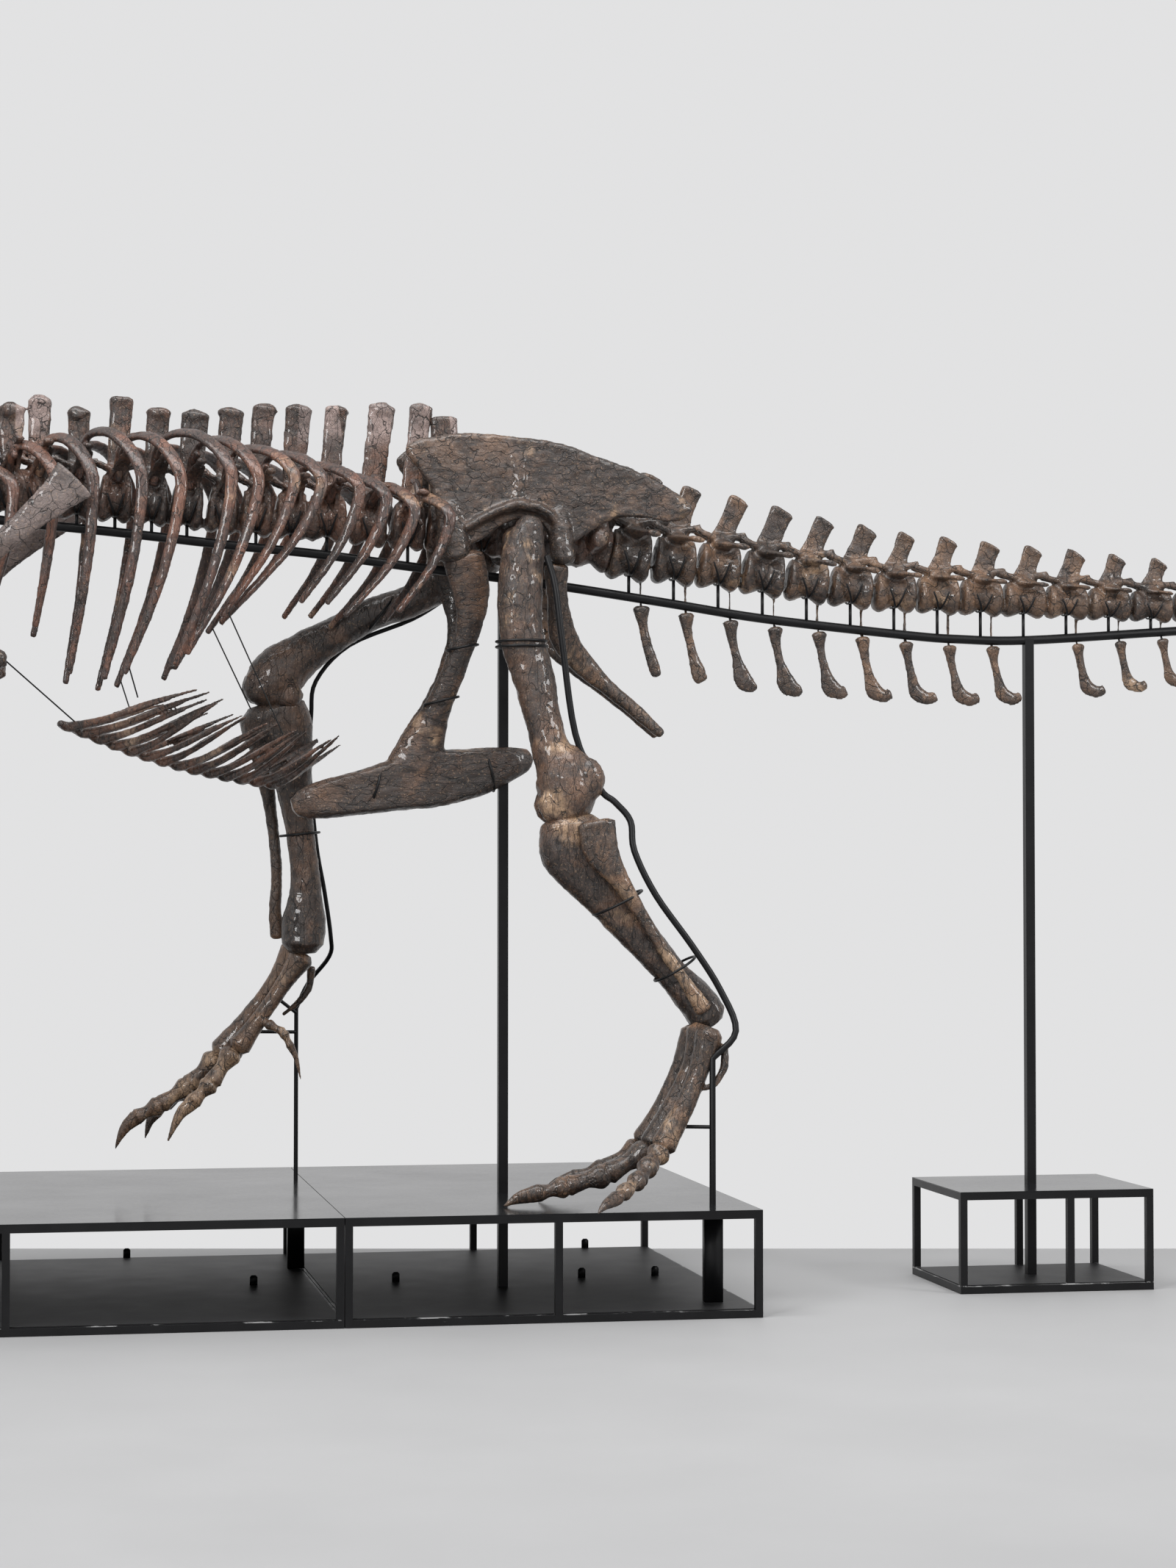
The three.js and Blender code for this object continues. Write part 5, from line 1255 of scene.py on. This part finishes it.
def cradle():
    verts, faces = [], []
    for s, d in ((-1, -1), (-1, 1), (1, -1), (1, 1)):
        points, polygons = sweep([
            (0, 0, -8, 6, 7), (d * 6, s * 44, -4, 5, 5), (d * 18, s * 74, 30, 4.5, 4.5),
            (d * 34, s * 80, 78, 4, 4)], 8, side=(1, 0, 0), steps=3)
        start = len(verts)
        verts.extend(points * MM)
        faces.extend(tuple(start + i for i in polygon) for polygon in polygons)
    return mesh_object("cradle", verts, faces)


stations = [(x, BACK_RADIUS) for x, *_ in BACK] + [(sacrum_x(i), SACRUM_RADIUS) for i in (0, 1)]
stations += [neck_place(i) for i in range(1, NECK_COUNT)]
stations += [(x, tail_radius(t)) for x, _, t in places]
posts, forks = [], []
for x, radius in stations:
    low = height(RAIL, x)
    top = height(SPINE, x) - radius * 0.74
    if top - low > 12:
        posts.append(((x, 0, low), (0, 0, 0), (1, 1, (top - low) / 1000)))
        forks.append(((x, 0, top - 4), (0, 0, 0), (1, radius / 86, radius / 86)))
set_things("rail_stubs", stub(), posts, STEEL)
set_things("rail_cradles", cradle(), forks, STEEL)

# %% [markdown]
# ## Table trim
# Small lugs with a hole stand on the lower bars. They say how big the table is, so they are worth
# a few faces.

# %% Lugs
def lug():
    rings = []
    for y in (-2.5, 2.5):
        rings.append([(-16, y, 0), (16, y, 0), (16, y, 34), (8, y, 42), (-8, y, 42), (-16, y, 34)])
    verts, faces = skin(np.array(rings, float))
    eye_verts, eye_faces = sweep([(0, -4, 26, 6, 6), (0, 4, 26, 6, 6)], 12,
                                 side=(1, 0, 0), steps=1, blunt=0)
    shift = len(verts)
    faces = faces + [tuple(shift + i for i in face) for face in eye_faces]
    return mesh_object("lug", np.vstack([verts, eye_verts]) * MM, faces)


lugs = [((x, 230, 33.5), (0, 0, 0), (1, 1, 1)) for x in (-1020, -420, 380, 700)]
lugs += [((x, 1325, 33.5), (0, 0, 0), (1, 1, 1)) for x in (-1500, 600)]
set_things("table_lugs", lug(), lugs, TUBES)

# %% [markdown]
# ## Room, light and camera
# A pale grey floor runs to a soft edge, and a pale wall is only the colour of the air. A big soft
# light hangs above and in front, as in a photo studio. The camera stands at eye height, a little
# to the head's side, and looks slightly up.

# %% Floor
def pale_floor():
    g = Graph("pale_floor")
    where = g.node("ShaderNodeTexCoord", output="Object")
    cloud = g.node("ShaderNodeTexNoise", Vector=where, Scale=0.9, Detail=8.0, Roughness=0.6)
    tone = g.blend(cloud, (0.3, 0.3, 0.303, 1), (0.36, 0.36, 0.363, 1))
    return g.finish(tone, 0.55 + cloud * 0.1)


CAMERA_AT = Vector((-2.130, -13.2, 1.71))
YAW, PITCH = math.radians(10.7), math.radians(1.8267)
ahead = Vector((math.sin(YAW), math.cos(YAW), 0))
right = Vector((math.cos(YAW), -math.sin(YAW), 0))
FLOOR_FAR, FLOOR_NEAR, FLOOR_SIDE = 15.05, -14.0, 24.0
corners = []
for depth, sideways in ((FLOOR_NEAR, -1), (FLOOR_NEAR, 1), (FLOOR_FAR, 1), (FLOOR_FAR, -1)):
    spot = CAMERA_AT + ahead * depth + right * sideways * FLOOR_SIDE
    corners.append((spot.x, spot.y, -0.001))
floor = mesh_object("floor", corners, [(0, 1, 2, 3)])
floor.data.materials.append(pale_floor())

# %% Light and camera
AIR = (0.76, 0.76, 0.765, 1)
world = bpy.data.worlds.new("pale_room")
bpy.context.scene.world = world
world.use_nodes = True
world.node_tree.nodes["Background"].inputs["Color"].default_value = AIR
world.node_tree.nodes["Background"].inputs["Strength"].default_value = 1.0


def soft_light(name, place, target, size, power):
    lamp = bpy.data.lights.new(name, "AREA")
    lamp.shape = "RECTANGLE"
    lamp.size, lamp.size_y = size
    lamp.energy = power
    holder = bpy.data.objects.new(name, lamp)
    holder.location = place
    holder.rotation_euler = (Vector(target) - Vector(place)).to_track_quat("-Z", "Y").to_euler()
    bpy.context.scene.collection.objects.link(holder)


soft_light("top_light", (-1, -3, 8.5), (0, 0, 2), (9, 3), 640)
soft_light("front_light", (-6, -9, 5.5), (0, 0, 2.2), (2.4, 2), 420)
soft_light("tail_light", (7, -6, 6), (1, 0, 2.5), (2, 2), 300)

camera = bpy.data.cameras.new("photo_camera")
camera.lens = 73.0
camera.sensor_width = 36.0
camera.clip_end = 200.0
eye = bpy.data.objects.new("photo_camera", camera)
eye.location = CAMERA_AT
eye.rotation_euler = Euler((math.radians(90) + PITCH, 0, -YAW))
bpy.context.scene.collection.objects.link(eye)
bpy.context.scene.camera = eye
bpy.context.scene.view_settings.view_transform = "Standard"
